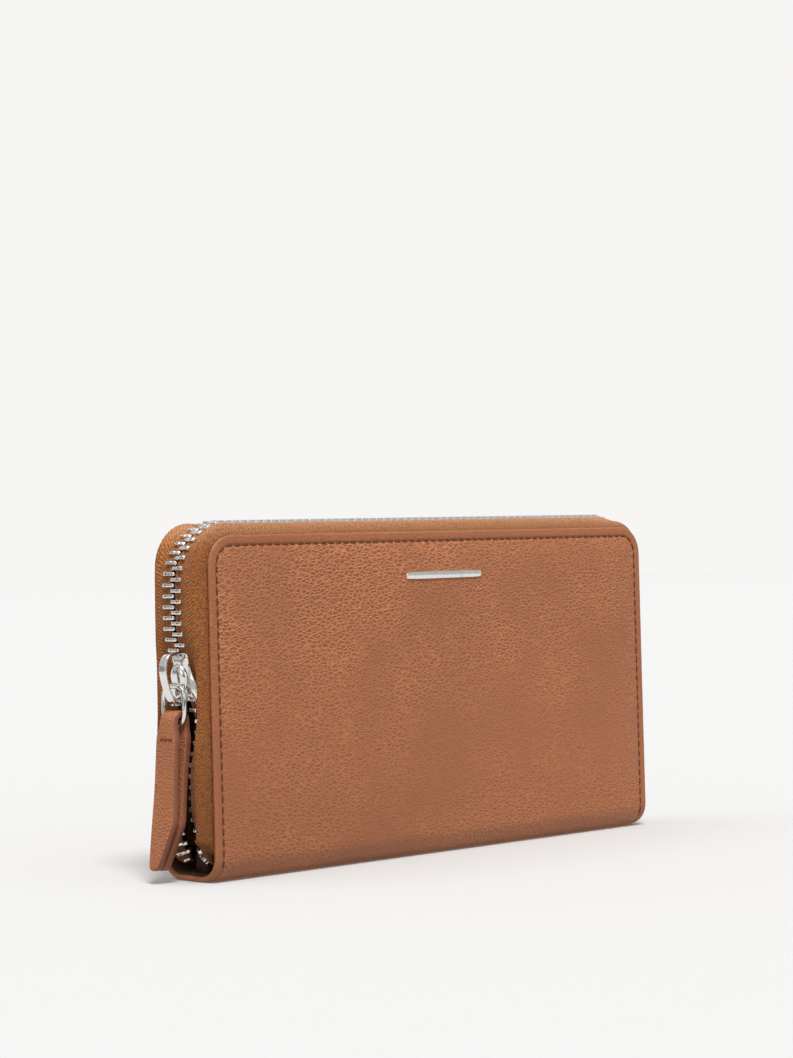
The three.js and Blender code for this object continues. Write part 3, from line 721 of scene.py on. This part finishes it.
stitch_pitch = 3.0
stitch_low = 3.5
stitch_size = (2.45, 0.26, 0.34)  # length, radius and dip
run = 2 * (top - corner - stitch_low) + math.pi * (corner - stitch_inset) + 2 * (half_width - corner)
count = int(run / stitch_pitch)
for side, prefix in covers:
    frames = []
    for k in range(count):
        x, s, dx, ds = rim_place((k + 0.5) * run / count, stitch_inset, stitch_low)
        here = skin_point(x, s, 0.1)
        ahead = skin_point(x + 0.01 * dx, s + 0.01 * ds, 0.1)
        out = here - skin_point(x, s, 1.1)
        along = (ahead - here) / np.linalg.norm(ahead - here)
        flip = np.array([1, -side, 1])
        frames.append((lean(here[None])[0] * flip, along * flip, np.cross(out, along) * flip, out * flip))
    verts, faces = copies(capsule(*stitch_size), frames)
    seam = facing_out(new_piece(prefix + "_rim_stitches", verts, faces, thread))
    fold_with_cover(seam)
print(count, "stitches a side")

# %% [markdown]
# ## Zip
# The chain runs up the left end, round the corners, along the top and down the right end, and both its
# ends turn in above the spine. Below the slider it is open: the edges of the tapes fall inwards and the two
# rows part. One function says where any point of a tape lies, and the tapes and the teeth both use it.

# %% The chain's path
chain_rise, side_rise, slider_rise = 3.0, 3.9, 0.6
chain_corner = 17.0
tuck_radius = 7.0
tuck_height = 11.0
tuck_run = math.radians(72) * tuck_radius
slider_middle = 56.2
left_fade, right_fade, right_sink = 16, 14, 1.6
left_run = top + chain_rise - chain_corner - tuck_height
arc_run = math.pi / 2 * chain_corner
left_arc = -half_width - side_rise + chain_corner
right_arc = half_width + chain_rise - chain_corner
top_run = right_arc - left_arc
chain_run = 2 * left_run + 2 * arc_run + top_run


def end_rise(side, z):
    """How far the chain stands out of an end of the wallet, in mm: it sinks in towards the slider."""
    if side < 0:
        sunk = 1 - smooth((z - slider_middle + 0.7) / left_fade)
        return side_rise - (side_rise - slider_rise) * sunk
    return chain_rise - right_sink * smooth((top - z) / right_fade)


def chain_place(distance):
    """The chain's line after a distance from the lower left: x, z and the outward normal's x and z."""
    side = -1 if distance < chain_run / 2 else 1
    d = distance if side < 0 else chain_run - distance
    if d < 0:
        a = min(-d / tuck_radius, math.radians(80))
        x = half_width + end_rise(side, 0) - tuck_radius + tuck_radius * math.cos(a)
        return side * x, tuck_height - tuck_radius * math.sin(a), side * math.cos(a), -math.sin(a)
    if d < left_run:
        return side * (half_width + end_rise(side, tuck_height + d)), tuck_height + d, side, 0.0
    a = (d - left_run) / chain_corner
    if a < math.pi / 2:
        z = top + chain_rise - chain_corner * (1 - math.sin(a))
        whole_rise = side_rise if side < 0 else chain_rise
        x = half_width + whole_rise - chain_corner * (1 - math.cos(a))
        x -= (whole_rise - end_rise(side, z)) * math.cos(a) ** 2
        return side * x, z, side * math.cos(a), math.sin(a)
    return left_arc + distance - left_run - arc_run, top + chain_rise, 0.0, 1.0


def edge_place(distance):
    """The leather's edge beside the same place on the chain: x, z and the outward normal's x and z."""
    side = -1 if distance < chain_run / 2 else 1
    d = distance if side < 0 else chain_run - distance
    rim_side = top - corner - tuck_height
    rim_arc = math.pi / 2 * corner
    if d < 0:
        past = -d / tuck_run
        return side * (half_width - 1.5 * past), tuck_height - 3.4 * past, side, 0.0
    if d < left_run + arc_run / 2:
        d *= (rim_side + rim_arc / 2) / (left_run + arc_run / 2)
        if d < rim_side:
            return side * half_width, tuck_height + d, side, 0.0
        a = (d - rim_side) / corner
        x = side * (half_width - corner + corner * math.cos(a))
        return x, top - corner + corner * math.sin(a), side * math.cos(a), math.sin(a)
    share = (chain_run / 2 - d) / (arc_run / 2 + top_run / 2)
    along = share * (half_width - corner + rim_arc / 2)
    if along < half_width - corner:
        return side * along, top, 0.0, 1.0
    a = (along - (half_width - corner)) / corner
    x = side * (half_width - corner + corner * math.sin(a))
    return x, top - corner + corner * math.cos(a), side * math.sin(a), math.cos(a)


chain_gap = 2.1  # each row's way out from the closed chain, below the slider
turned_in, turned_back = math.radians(62), math.radians(40)


def opening(distance):
    """How far the rows stand apart, in mm, and how far the teeth have turned in, in radians."""
    z = tuck_height + distance
    if distance > left_run:
        return 0.0, 0.0
    apart = chain_gap * smooth((slider_middle + 4 - z) / 10)
    apart -= 0.6 * smooth((40 - z) / 12) - 0.5 * smooth((20 - z) / 10)
    turned = turned_in * smooth((slider_middle - 6 - z) / 10)
    turned -= turned_back * smooth((17 - z) / 12)
    return apart, turned


bend_line = 4.1


def tape_point(distance, side, across, lift=0.0):
    """A point of the tape: across is the distance from the chain's middle, and lift is out of its face."""
    x, z, nx, nz = chain_place(distance)
    apart, turned = opening(distance)
    hinge = bend_line + apart
    reach = bend_line - across
    share = smooth((reach + 0.8) / 2.0)
    angle = turned * share
    y = hinge - reach * np.cos(angle) - lift * np.sin(angle)
    out = open_crest(distance)
    u = out - reach * np.sin(angle) * (reach > 0) + lift * np.cos(angle)
    return np.array([x + u * nx, side * y, z + u * nz])


def open_crest(distance):
    """Below the slider the edge of the open tape stands out again, in mm."""
    z = tuck_height + distance
    if distance > left_run:
        return 0.0
    return 3.0 * smooth((49 - z) / 20) * smooth((z - 6) / 16)


print("chain", round(chain_run), "mm long")

# %% [markdown]
# ### Tapes
# Each tape is glued inside the leather's edge, bulges out of it and runs level to the teeth. Its inner
# edge is woven round a cord that the teeth are clamped on, which shows as cloth between them.

# %% Woven tapes
tape_half = 0.27
cord_radius, cord_middle = 0.62, 1.45
glued = 6.0
tape_face = half_depth - 1.5 - tape_half
crest_side, crest_top, crest_right = 4.0, 3.0, 1.3
held_front, held_back = 0.36, 0.12  # the share of the bulge that the slider presses down


def crest(distance, side):
    """How far the tape bulges out of the leather's edge, in mm, less where the slider holds it down."""
    if distance < 0:
        return crest_side * (1 + distance / tuck_run) * 0.9
    if distance > chain_run:
        return crest_right * (1 - (distance - chain_run) / tuck_run)
    z = tuck_height + distance
    held = float(smooth((z - 36) / 12) * smooth((70 - z) / 12)) if distance < left_run else 0.0
    rise = crest_side * (1 - (held_front if side < 0 else held_back) * held)
    rise += (crest_top - crest_side) * smooth((distance - left_run) / arc_run)
    past_top = distance - left_run - arc_run - top_run
    return rise + (crest_right - crest_top) * smooth((past_top + 14) / (arc_run + 4))


def tape_section(distance, side):
    rim_x, rim_z, rim_nx, rim_nz = edge_place(distance)
    _, _, nx, nz = chain_place(distance)
    out = crest(distance, side)
    bulge = [(-glued, 0), (-3.0, 0), (-0.8, 0.03)]
    bulge += [(share * out, y) for share, y in ((0.2, -0.06), (0.55, -0.35), (0.85, -0.95), (1, -2.0))]
    keys = [np.array([rim_x + u * rim_nx, tape_face + y, rim_z + u * rim_nz]) for u, y in bulge]
    keys += [tape_point(distance, 1, across) for across in (5.2, 4.2, 3.4, 2.6, 2.0)]
    line = np.vstack([keys[0], spline(keys[1:], 22)])
    line[:, 1] *= side
    step = np.gradient(line, axis=0)
    tangent = np.array([nz, 0, -nx])
    out_way = np.cross(step, tangent) * -side
    out_way /= np.linalg.norm(out_way, axis=1)[:, None]
    upper = line + tape_half * out_way
    lower = (line - tape_half * out_way)[::-1]
    cord = [
        tape_point(distance, side, cord_middle + cord_radius * math.cos(a), cord_radius * math.sin(a))
        for a in cord_angles
    ]
    return np.concatenate([upper, np.array(cord), lower])


cord_angles = np.linspace(0.4, TAU - 0.4, 9)
flat_across = np.linspace(14.4, 2.0, 22)
cord_across = 1.5 + 0.6 * np.cos(cord_angles)
across_line = np.concatenate([[20.0], flat_across, cord_across, flat_across[::-1], [20.0]])
tape_steps, reached = [], -tuck_run
for stretch, points in (
    (tuck_run, 8), (left_run, 58), (arc_run, 25), (top_run, 60), (arc_run, 25), (left_run, 36),
    (tuck_run, 8),
):
    tape_steps += list(reached + np.linspace(0, stretch, points)[:-1])
    reached += stretch
tape_steps = np.array(tape_steps + [reached])
for side, prefix in covers:
    sections = lean(np.array([tape_section(d, side) for d in tape_steps]))
    tape = lofted(prefix + "_woven_tape", sections, tape_cloth, sharp=0)
    along, across = np.meshgrid(tape_steps * mm, across_line * mm, indexing="ij")
    carry(tape, np.stack([along, across, 0 * along], -1))
    stand_in_for(tape, prefix + "_cover", "zip_tape", prefix + "_zip_tape")
    print(tape.name, len(tape.data.vertices), "points")

# %% [markdown]
# ### Teeth
# A tooth is pressed from flat wire: a block with soft corners, clamped on the cord at one end, with a
# waist and a rounded head that locks between two teeth of the other row.

# %% Metal teeth and end stops
tooth_pitch = 3.0
tooth_end = 3.75
tooth_profile = [
    (0.0, 0.7, 1.5), (0.12, 1.0, 2.1), (0.35, 1.15, 2.4), (2.2, 1.15, 2.4), (2.5, 1.02, 2.15),
    (2.8, 1.02, 2.1), (3.1, 1.15, 2.25), (3.9, 1.12, 2.1), (4.25, 0.95, 1.7), (4.4, 0.6, 1.1),
]
tooth_sections = [
    level_ring(rounded_bar(width, thick, min(width, thick) * 0.24, 2), along)
    for along, width, thick in tooth_profile
]
stop_profile = [(0.5, 1.5, 1.9), (0.7, 2.0, 2.4), (2.9, 2.0, 2.4), (3.1, 1.5, 1.9)]
stop_sections = [level_ring(rounded_bar(width, thick, 0.4), along) for along, width, thick in stop_profile]


def tooth_frame(distance, side):
    """A tooth's outer end, the way along the chain, the way towards its middle, and the way out."""
    origin = tape_point(distance, side, tooth_end)
    inner = tape_point(distance, side, tooth_end - 1.0)
    across = (inner - origin) / np.linalg.norm(inner - origin)
    _, _, nx, nz = chain_place(distance)
    along = np.array([nz, 0, -nx])
    out = np.cross(along, across)
    out *= np.sign(out @ np.array([nx, 0, nz]) + 1e-9)
    return lean(origin[None])[0], along, across, out


for side, prefix in covers:
    offset = 0.0 if side < 0 else tooth_pitch / 2
    places = np.arange(-tuck_run + 3.2 + offset, chain_run + tuck_run - 2.6, tooth_pitch)
    verts, faces = copies(tooth_sections, [tooth_frame(d, side) for d in places])
    row = facing_out(new_piece(prefix + "_metal_teeth", verts, faces, tooth_metal))
    carry(row, np.tile(np.array(tooth_sections).reshape(-1, 3) * mm, (len(places), 1)))
    stand_in_for(row, prefix + "_cover", "zip_metal", prefix + "_zip_teeth")
    for place, suffix in ((-tuck_run + 1.2, "left"), (chain_run + tuck_run - 1.2, "right")):
        verts, faces = copies(stop_sections, [tooth_frame(place, side)])
        clip = facing_out(new_piece(f"{prefix}_end_stop_{suffix}", verts, faces, nickel))
        stand_in_for(clip, prefix + "_cover", "zip_metal", f"{prefix}_zip_stop_{suffix}")
    print(row.name, len(places), "teeth")

# %% [markdown]
# ## Slider, ring and pull
# The slider is a die casting: two shields joined by a post, with shoulders where the rows enter, an oval
# boss, and a bridge along its back that the ring hangs in. Each shield is a stack of the same outline,
# drawn in towards the top, which gives the bevels that catch the light.

# %% Slider body
half_space, plate_wall = 1.5, 1.2
plate_inner = slider_rise + half_space
plate_outer = plate_inner + plate_wall
back_outer = slider_rise - half_space - plate_wall
half_length = 7.0
slider_tilt = 0.15  # its nose stands out, its mouth is drawn in
seated_out, seated_across, tilt_below = 0.9, 0.5, 4


def at_end(u, y, z):
    """From the slider's own sizes, out from the cover's edge, across and up from its middle."""
    x = -half_width + seated_out - u - slider_tilt * (z + tilt_below)
    return np.array([x, y - seated_across, slider_middle + z])


def shield(shrink):
    """The slider's outline, wide at the mouth below and narrow at the nose."""
    keys_z = np.array([7.0, 6.8, 6.1, 4.0, 1.0, -1.8, -3.7, -5.1, -6.2, -6.8, -7.0])
    keys_y = np.array([2.4, 3.1, 3.5, 3.6, 4.4, 5.6, 6.3, 6.6, 6.3, 5.4, 4.2])
    path = np.linspace(0, len(keys_z) - 1, 31)
    z = np.interp(path, range(len(keys_z)), keys_z)
    y = np.interp(path, range(len(keys_y)), keys_y)
    z *= 1 - shrink / half_length
    y = np.maximum(y - shrink, 0.3)
    notch = [(0.0, -half_length + 1.1 + shrink)]
    half = list(zip(y, z))
    return np.array(half + notch + [(-a, b) for a, b in half[::-1]])


def stack(levels):
    """Sections of a piece whose outline changes with its height above the cover's edge."""
    return np.array([[at_end(u, y, z) for y, z in outline] for u, outline in levels])


front_levels = [
    (slider_rise + 0.65, shield(0.35)), (slider_rise + 0.8, shield(0.08)), (slider_rise + 1.2, shield(0.0)),
    (plate_inner + 0.1, shield(0.0)), (plate_inner + 0.45, shield(0.35)), (plate_inner + 0.8, shield(1.2)),
    (plate_outer - 0.08, shield(1.9)), (plate_outer, shield(2.2)),
]
front_plate = lofted("slider_front_plate", stack(front_levels), nickel, sharp=24)
back_levels = [
    (back_outer, shield(0.9)), (back_outer + 0.35, shield(0.3)), (slider_rise - 1.0, shield(0.2)),
    (slider_rise - 0.65, shield(0.4)),
]
back_plate = lofted("slider_back_plate", stack(back_levels), nickel, sharp=24)


def oval(width, height, count=32, power=1.0):
    a = np.linspace(0, TAU, count, endpoint=False)
    c, s = (np.sign(v) * abs(v) ** power for v in (np.cos(a), np.sin(a)))
    return np.stack([width / 2 * c, height / 2 * s], -1)


boss_sizes = (
    (-0.5, 6.8, 8.4), (0.1, 6.5, 8.0), (0.6, 5.9, 7.3), (1.0, 5.0, 6.3), (1.3, 3.8, 5.0), (1.48, 2.4, 3.4),
    (1.55, 1.0, 1.6),
)
boss_levels = [(plate_outer + rise, oval(width, height)) for rise, width, height in boss_sizes]
boss = lofted("slider_boss", stack(boss_levels), nickel, sharp=60)
post_levels = [(slider_rise + rise, oval(1.8, 3.6)) for rise in (-1.6, 1.6)]
post = lofted("slider_post", stack(post_levels) - np.array([0, 0, 4.8]), nickel)
for piece in (front_plate, back_plate, boss, post):
    stand_in_for(piece, "zip_slider", "zip_metal", "slider_body")


# %% Bridge and ring
def swept(name, path, normals, ring, finish, round_rows=False):
    """A section carried along a path in the X-Z plane: ring is (across Y, along the normal)."""
    sides = np.outer(ring[:, 0], (0, 1, 0))
    sections = [p + sides + np.outer(ring[:, 1], n) for p, n in zip(path, normals)]
    return lofted(name, sections, finish, round_rows, sharp=30)


arch = spline([
    (-0.4, 6.7), (1.6, 6.8), (3.4, 6.2), (4.7, 4.7), (5.4, 2.4), (5.4, -0.2), (4.9, -3.0), (4.2, -5.2),
    (2.8, -6.5), (-0.4, -6.8),
], 40)
arch_path = np.array([at_end(plate_outer + u, 0, z) for u, z in arch])
arch_normals = np.cross(directions(arch_path), (0, 1, 0))
bridge = swept("slider_bridge_arch", arch_path, arch_normals, rounded_bar(2.6, 1.0, 0.3), nickel)
stand_in_for(bridge, "zip_slider", "zip_metal", "slider_bridge")

ring_low, ring_high = span("pull_ring")
swing = next(j for j in frame["joints"] if j["name"] == "pull_ring_swing")
hang_from = np.array(swing["pos_m"]) / mm
hang_lean = math.radians(5)
hang_down = np.array([-math.sin(hang_lean), 0, -math.cos(hang_lean)])
hang_out = np.array([-math.cos(hang_lean), 0, math.sin(hang_lean)])


def hung(out, across, down):
    """A place on the ring or the pull, measured from the ring's top bar."""
    return hang_from + out * hang_out + across * np.array([0, 1, 0]) + down * hang_down


ring_drop, wire_radius = 9.6, 0.7
drawn_in = 0.8  # the ring hangs straight, and only the stiff pull leans out
hoop_stretch = 1.1
ring_half = (ring_high[1] - ring_low[1]) / 2 - wire_radius
hoop = oval(2 * ring_half, ring_drop, 56, 0.62)
wire_sections = []
for k, (y, z) in enumerate(hoop):
    step = hoop[(k + 1) % len(hoop)] - hoop[k - 1]
    step /= np.linalg.norm(step)
    side_way = np.array([step[1], -step[0]])
    ring = []
    for a in np.linspace(0, TAU, 14, endpoint=False):
        r = wire_radius * np.array([math.cos(a), math.sin(a)])
        down = ring_drop / 2 - z * hoop_stretch + (hoop_stretch - 1) * ring_drop / 2 - r[0] * side_way[1]
        ring.append(hung(r[1] - drawn_in * down / ring_drop, y + r[0] * side_way[0], down))
    wire_sections.append(ring)
ring = lofted("pull_wire_ring", wire_sections, nickel, round_rows=True)
stand_in_for(ring, "pull_ring", "zip_metal", "pull_ring")
print("slider, bridge and ring made")

# %% [markdown]
# ### Leather pull
# The pull is one strip of leather, folded over the ring and stitched to itself. It is swept along the
# fold, from the tip of the outer layer, over the ring and down to the tip of the inner layer, with its
# width taken from the cut outline. Its long edges are painted.

# %% Folded strip
layer, groove = 2.0, 0.9
tab_length = 44.0
loop_middle = wire_radius + layer / 2 + 0.35
tab_foot = tab_length - wire_radius - layer
strip_down = [tab_foot, tab_foot - 0.25, tab_foot - 0.8, tab_foot - 1.8]
strip_down += list(np.linspace(tab_foot - 3.2, 6.0, 22)) + [5.2, 4.4, 3.4, 2.4, 1.2]
offset_half = (groove + layer) / 2


def strip_half(down):
    """How far a layer's middle stands from the ring's bar, parted by the loop."""
    return offset_half + (loop_middle - offset_half) * (1 - smooth(down / 26.0))


centre_line = [(strip_half(d), d) for d in strip_down]
loop_angles = np.linspace(0, math.pi, 15)
centre_line += [(loop_middle * math.cos(a), -loop_middle * math.sin(a)) for a in loop_angles]
centre_line += [(-strip_half(d), d) for d in strip_down[::-1]]
centre_line = np.array(centre_line)


slant, slant_length = 0.43, 13.5  # the foot is cut off at a slant on its front side


def cut_edges(down):
    """The strip's front and back edge at a distance below the bar."""
    ease = smooth((down - 1.0) / 4.0)
    grow = smooth((down - 14) / 18)
    back = 2.9 + 1.0 * ease + 0.35 * grow
    front = -3.3 - 1.1 * ease - 0.8 * grow
    past_turn = down - tab_foot + slant_length
    if past_turn > 0:
        front += past_turn * slant - 0.25 * math.exp(-past_turn / 1.5)
    near = max(down - (tab_foot - 1.8), 0) / 1.8
    draw = 1.35 * (1 - math.sqrt(max(1 - near**2, 0)))
    return front + draw, back - draw


step = directions(centre_line)
way_out = np.stack([step[:, 1], -step[:, 0]], -1)
strip_sections = []
for (out, down), (no, nd) in zip(centre_line, way_out):
    front, back = cut_edges(max(down, 0))
    width, thick = back - front, layer if down > 0 else layer - 0.25
    ring = rounded_bar(width, thick, 0.5, 3)
    middle = (front + back) / 2
    start = out - drawn_in * (1 - max(down, 0) / tab_length)
    strip_sections.append([hung(start + t * no, middle + w, ring_drop + down + t * nd) for w, t in ring])
pull = lofted("leather_pull", strip_sections, [tab_leather, edge_paint], sharp=50)
for face in pull.data.polygons:
    if abs(face.normal.y) > 0.55:
        face.material_index = 1
stand_in_for(pull, "pull_tab", "outer_leather", "pull_tab")

seam_down, seam_pitch = 5.2, 1.8
seam_stitch_size = (1.8, 0.32, 0.36)
frames = []
for level in (1, -1):
    for k in range(3):
        out = level * (strip_half(seam_down) + layer / 2 + 0.02) - drawn_in * 0.9
        place = hung(out, -2.2 + seam_pitch * k, ring_drop + seam_down)
        frames.append((place, np.array([0, 1.0, 0]), hang_down, level * hang_out))
verts, faces = copies(capsule(*seam_stitch_size), frames)
pull_stitches = facing_out(new_piece("pull_stitches", verts, faces, thread))
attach(pull_stitches, "pull_tab")
print(pull.name, len(pull.data.vertices), "points")

# %% [markdown]
# ## Inside
# Each cover is lined, stiffened with board and carries four stepped card pockets. A zipped coin pocket
# stands in the middle, and pleated gussets join it to the covers, so that they open like an accordion.

# %% Flat layers with soft edges


def plate(name, outline, y_inner, y_outer, side, finish, soften=0.2):
    """A thin layer with its rim drawn in: outline is (x, z) round the layer."""
    outline = np.asarray(outline, float)
    middle = (outline.min(0) + outline.max(0)) / 2
    size = (outline.max(0) - outline.min(0)) / 2
    ease = 0.3 * (y_outer - y_inner)
    levels = [(y_inner, soften), (y_inner + ease, 0), (y_outer - ease, 0), (y_outer, soften)]
    rings = [(middle + (outline - middle) * (1 - shrink / size), side * y) for y, shrink in levels]
    sections = [level_ring(*ring) for ring in rings]
    return lofted(name, lean(np.array(sections)), finish, sharp=35)


def arched(inset, low, steps=8):
    """The cover's outline, set in from the rim, down to a height."""
    radius = corner - inset
    points = [(-half_width + inset, low), (half_width - inset, low)]
    for sign in (1, -1):
        for a in np.linspace(0, math.pi / 2, steps):
            a = a if sign > 0 else math.pi / 2 - a
            x = sign * (half_width - corner) + sign * radius * math.cos(a)
            points.append((x, top - corner + radius * math.sin(a)))
    return points


def layer_span(node):
    """A cover layer's low and high corner, and its distances from the middle of the wallet, in mm."""
    low, high = span(node)
    return low, high, *sorted((abs(low[1]), abs(high[1])))


pocket_sag = 0.35
for side, prefix in covers:
    low, high, inner, outer = layer_span(prefix + "_cover_board")
    board = plate(prefix + "_stiffener", arched(9, low[2]), inner, outer, side, board_pulp)
    stand_in_for(board, prefix + "_cover", "stiffener", prefix + "_cover_board")
    low, high, inner, outer = layer_span(prefix + "_lining")
    cloth = plate(prefix + "_cover_lining", arched(1, low[2]), inner, outer, side, lining_cloth)
    stand_in_for(cloth, prefix + "_cover", "lining", prefix + "_lining")
    for k in range(1, 5):
        node = f"{prefix}_card_pocket_{k}"
        low, high, inner, outer = layer_span(node)
        sections = []
        hem_heights = high[2] - np.array([1.0, 0.4, 0.1, 0.0])
        for z in np.concatenate([np.linspace(low[2], high[2] - 1.2, 5), hem_heights]):
            hem = 0.06 if z > high[2] - 1.1 else 0.0
            pinch = 0.12 if high[2] - z < 0.05 else 0.0
            ring = [(x, inner - hem + pinch) for x in np.linspace(low[0], high[0], 41)]
            ring += [(x, outer - pinch) for x in np.linspace(high[0], low[0], 41)]
            sag = pocket_sag * (z - low[2]) / (high[2] - low[2])
            sections.append([(x, side * y, z - sag * (1 - (x / high[0]) ** 2)) for x, y in ring])
        pocket = lofted(node + "_leather", lean(np.array(sections)), pocket_leather, sharp=40)
        stand_in_for(pocket, prefix + "_cover", "inner_leather", node)
print("linings, boards and card pockets made")

# %% Spine lining
low, high = span("spine_lining")
inside = []
radius = spine_radius - 1.25
flat_half = high[1] - radius
for thick_in in (0.0, 0.5):
    r = radius - thick_in
    angles = np.linspace(0, math.pi / 2, 9)
    arc = [(-flat_half - r * math.cos(a), low[2] + radius - r * math.sin(a)) for a in angles]
    half = [(-high[1] + thick_in, high[2])] + arc
    full = half + [(-y, z) for y, z in half[::-1]]
    inside.append(full if thick_in == 0 else full[::-1])
loop = np.array(inside[0] + inside[1])
sections = [np.column_stack([np.full(len(loop), x), loop]) for x in np.linspace(low[0], high[0], 12)]
spine_cloth = lofted("spine_cloth", sections, lining_cloth, sharp=40)
stand_in_for(spine_cloth, "spine", "lining", "spine_lining")


# %% Pleated gussets
def pleat_section(x_outer, x_inner, y_from, y_to, z, legs=4, thick=0.14):
    t = np.linspace(0, 1, 41)
    x = (x_outer + x_inner) / 2 + (x_outer - x_inner) / 2 * np.cos(math.pi * legs * t)
    y = y_from + (y_to - y_from) * t
    line = np.stack([x, y], -1)
    step = directions(line)
    normal = np.stack([step[:, 1], -step[:, 0]], -1) * thick / 2
    ring = np.concatenate([line + normal, (line - normal)[::-1]])
    return np.column_stack([ring, np.full(len(ring), z)])


for side, prefix in covers:
    for end, suffix in ((-1, "left"), (1, "right")):
        node = f"{prefix}_gusset_{suffix}"
        low, high, near, far = layer_span(node)
        x_outer, x_inner = (low[0], high[0]) if end < 0 else (high[0], low[0])
        sections = [
            pleat_section(x_outer, x_inner, side * (near + 0.25), side * (far - 0.15), z)
            for z in np.linspace(low[2], high[2], 24)
        ]
        gusset = lofted(node + "_cloth", lean(np.array(sections)), lining_cloth, sharp=0)
        side * (far - 0.1) * mm
        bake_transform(gusset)
        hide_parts(node)
print("gussets made")

# %% [markdown]
# ### Coin pocket
# Two walls of lining cloth, a strip of cloth round three sides, and a nylon coil zip along the top with
# its own small slider.


# %% Coin pocket walls, gusset and zip
def slab(name, node, finish, body, slot, soften=0.15):
    """A box-shaped layer of cloth or metal with its edges drawn in, in place of a plain solid."""
    low, high = span(node)
    cut = np.minimum(soften, (high - low) * 0.3)
    sections = []
    for x, shrink in ((low[0], 1), (low[0] + cut[0], 0), (high[0] - cut[0], 0), (high[0], 1)):
        size = high - low - 2 * shrink * cut
        ring = rounded_bar(size[1], size[2], min(cut[1:]), 2)
        sections.append(np.column_stack([np.full(len(ring), x), ring + (low[1:] + high[1:]) / 2]))
    return stand_in_for(lofted(name, sections, finish, sharp=40), body, slot, node)


slab("coin_front_cloth", "coin_pocket_front_wall", lining_cloth, "spine", "lining")
slab("coin_back_cloth", "coin_pocket_back_wall", lining_cloth, "spine", "lining")
for suffix in ("front", "back"):
    tape = slab(f"coin_{suffix}_tape", f"coin_zip_tape_{suffix}", coin_tape_cloth, "spine", "zip_tape")
    carry(tape, [(v.co.x, v.co.y, 0) for v in tape.data.vertices])
    low, high = span(f"coin_zip_coil_{suffix}")
    centre = (low[1:] + high[1:]) / 2
    sections = []
    for k, x in enumerate(np.arange(low[0], high[0], 0.35)):
        swell = 0.62 if k % 2 else 0.5
        a = np.linspace(0, TAU, 10, endpoint=False)
        ring = centre + swell * np.stack([np.cos(a), np.sin(a)], -1)
        sections.append(np.column_stack([np.full(10, x), ring]))
    coil = lofted(f"coin_{suffix}_coil", sections, coil_nylon, sharp=0)
    stand_in_for(coil, "spine", "coil", f"coin_zip_coil_{suffix}")

low, high = span("coin_pocket_gusset")
inner_x, wall = high[0] - 0.4, 0.4
half = [(-high[0], high[2]), (-high[0], low[2] + 1), (-high[0] + 1, low[2])]
loop = half + [(-x, z) for x, z in half[::-1]]
half = [(inner_x, high[2]), (inner_x, low[2] + wall + 1), (inner_x - 1, low[2] + wall)]
loop += half + [(-x, z) for x, z in half[::-1]]
sections = []
for y in np.linspace(low[1], high[1], 7):
    pucker = 0.25 * math.cos(y / high[1] * math.pi / 2)
    ring = [(x - math.copysign(pucker, x) if abs(x) > inner_x - 0.1 else x, y, z) for x, z in loop]
    sections.append(ring)
coin_gusset = lofted("coin_end_cloth", sections, lining_cloth, sharp=40)
stand_in_for(coin_gusset, "spine", "lining", "coin_pocket_gusset")

# %% Coin zip slider
low, high = span("coin_slider_body")
middle_x, length = (low[0] + high[0]) / 2, high[0] - low[0]
coil_z = sum(corner_point[2] for corner_point in span("coin_zip_coil_front")) / 2


def small_shield(width, shrink):
    ring = oval(width - 2 * shrink, length - 2 * shrink, 28, 0.7)
    ring[:, 0] *= 1 - 0.12 * ring[:, 1] / length
    return ring


small_levels = ((0.86, 0.25), (1.0, 0.0), (1.35, 0.0), (1.6, 0.35), (1.68, 0.9))
for sign, width, name in ((1, 5.4, "coin_slider_top"), (-1, 3.7, "coin_slider_under")):
    sections = [
        [(middle_x + b, a, coil_z + sign * rise) for a, b in small_shield(width, shrink)]
        for rise, shrink in small_levels
    ]
    stand_in_for(lofted(name, sections, nickel, sharp=30), "coin_slider", "zip_metal", "coin_slider_body")
lug_z = coil_z + 1.6
a = np.linspace(0, math.pi, 17)
lug_path = np.stack([low[0] + 3.7 - 1.2 * np.cos(a), 0 * a, lug_z + 1.95 * np.sin(a)], -1)
lug_normals = np.cross(directions(lug_path), (0, 1, 0))
lug = swept("coin_slider_lug", lug_path, lug_normals, rounded_bar(2.2, 0.6, 0.2), nickel)
stand_in_for(lug, "coin_slider", "zip_metal", "coin_slider_body")

low, high = span("coin_slider_pull")
pull_z = (low[2] + high[2]) / 2
eye_centre = high[0] - 1.5
rim = oval(high[0] - low[0], high[1] - low[1], 40, 0.45) + np.array([(low[0] + high[0]) / 2, 0])
eye = oval(2.2, 2.8, 40, 0.6) + np.array([eye_centre - 0.4, 0])
levels = ((rim, 0.25), (rim, -0.25), (eye, -0.4), (eye, 0.4))
sections = [[(x, y, pull_z + height) for x, y in outline] for outline, height in levels]
coin_pull = lofted("coin_slider_tag", sections, nickel, round_rows=True, sharp=35)
stand_in_for(coin_pull, "coin_pull", "zip_metal", "coin_slider_pull")
print("coin pocket made")

# %% [markdown]
# ## Emblem
# A plain polished bar with round ends sits near the top of the front cover. It carries no lettering.

# %% Plain bar
low, high = span("front_emblem_bar")
centre_z = (low[2] + high[2]) / 2
face = lean(np.array([[0, -half_depth, centre_z]]))[0, 1] - 0.06 - padding_rise * 0.9
bar_ring = oval(high[0] - low[0], high[2] - low[2], 48, 0.3)
sections = []
for rise, shrink in ((-0.3, 0), (0.12, 0), (0.26, 0.12), (0.34, 0.35)):
    eased = bar_ring * (1 - shrink / np.array([12, 1.1]))
    sections.append([(x, face - rise, centre_z + z) for x, z in eased])
emblem = lofted("emblem_bar", sections, nickel, sharp=30)
stand_in_for(emblem, "front_cover", "zip_metal", "front_emblem_bar")
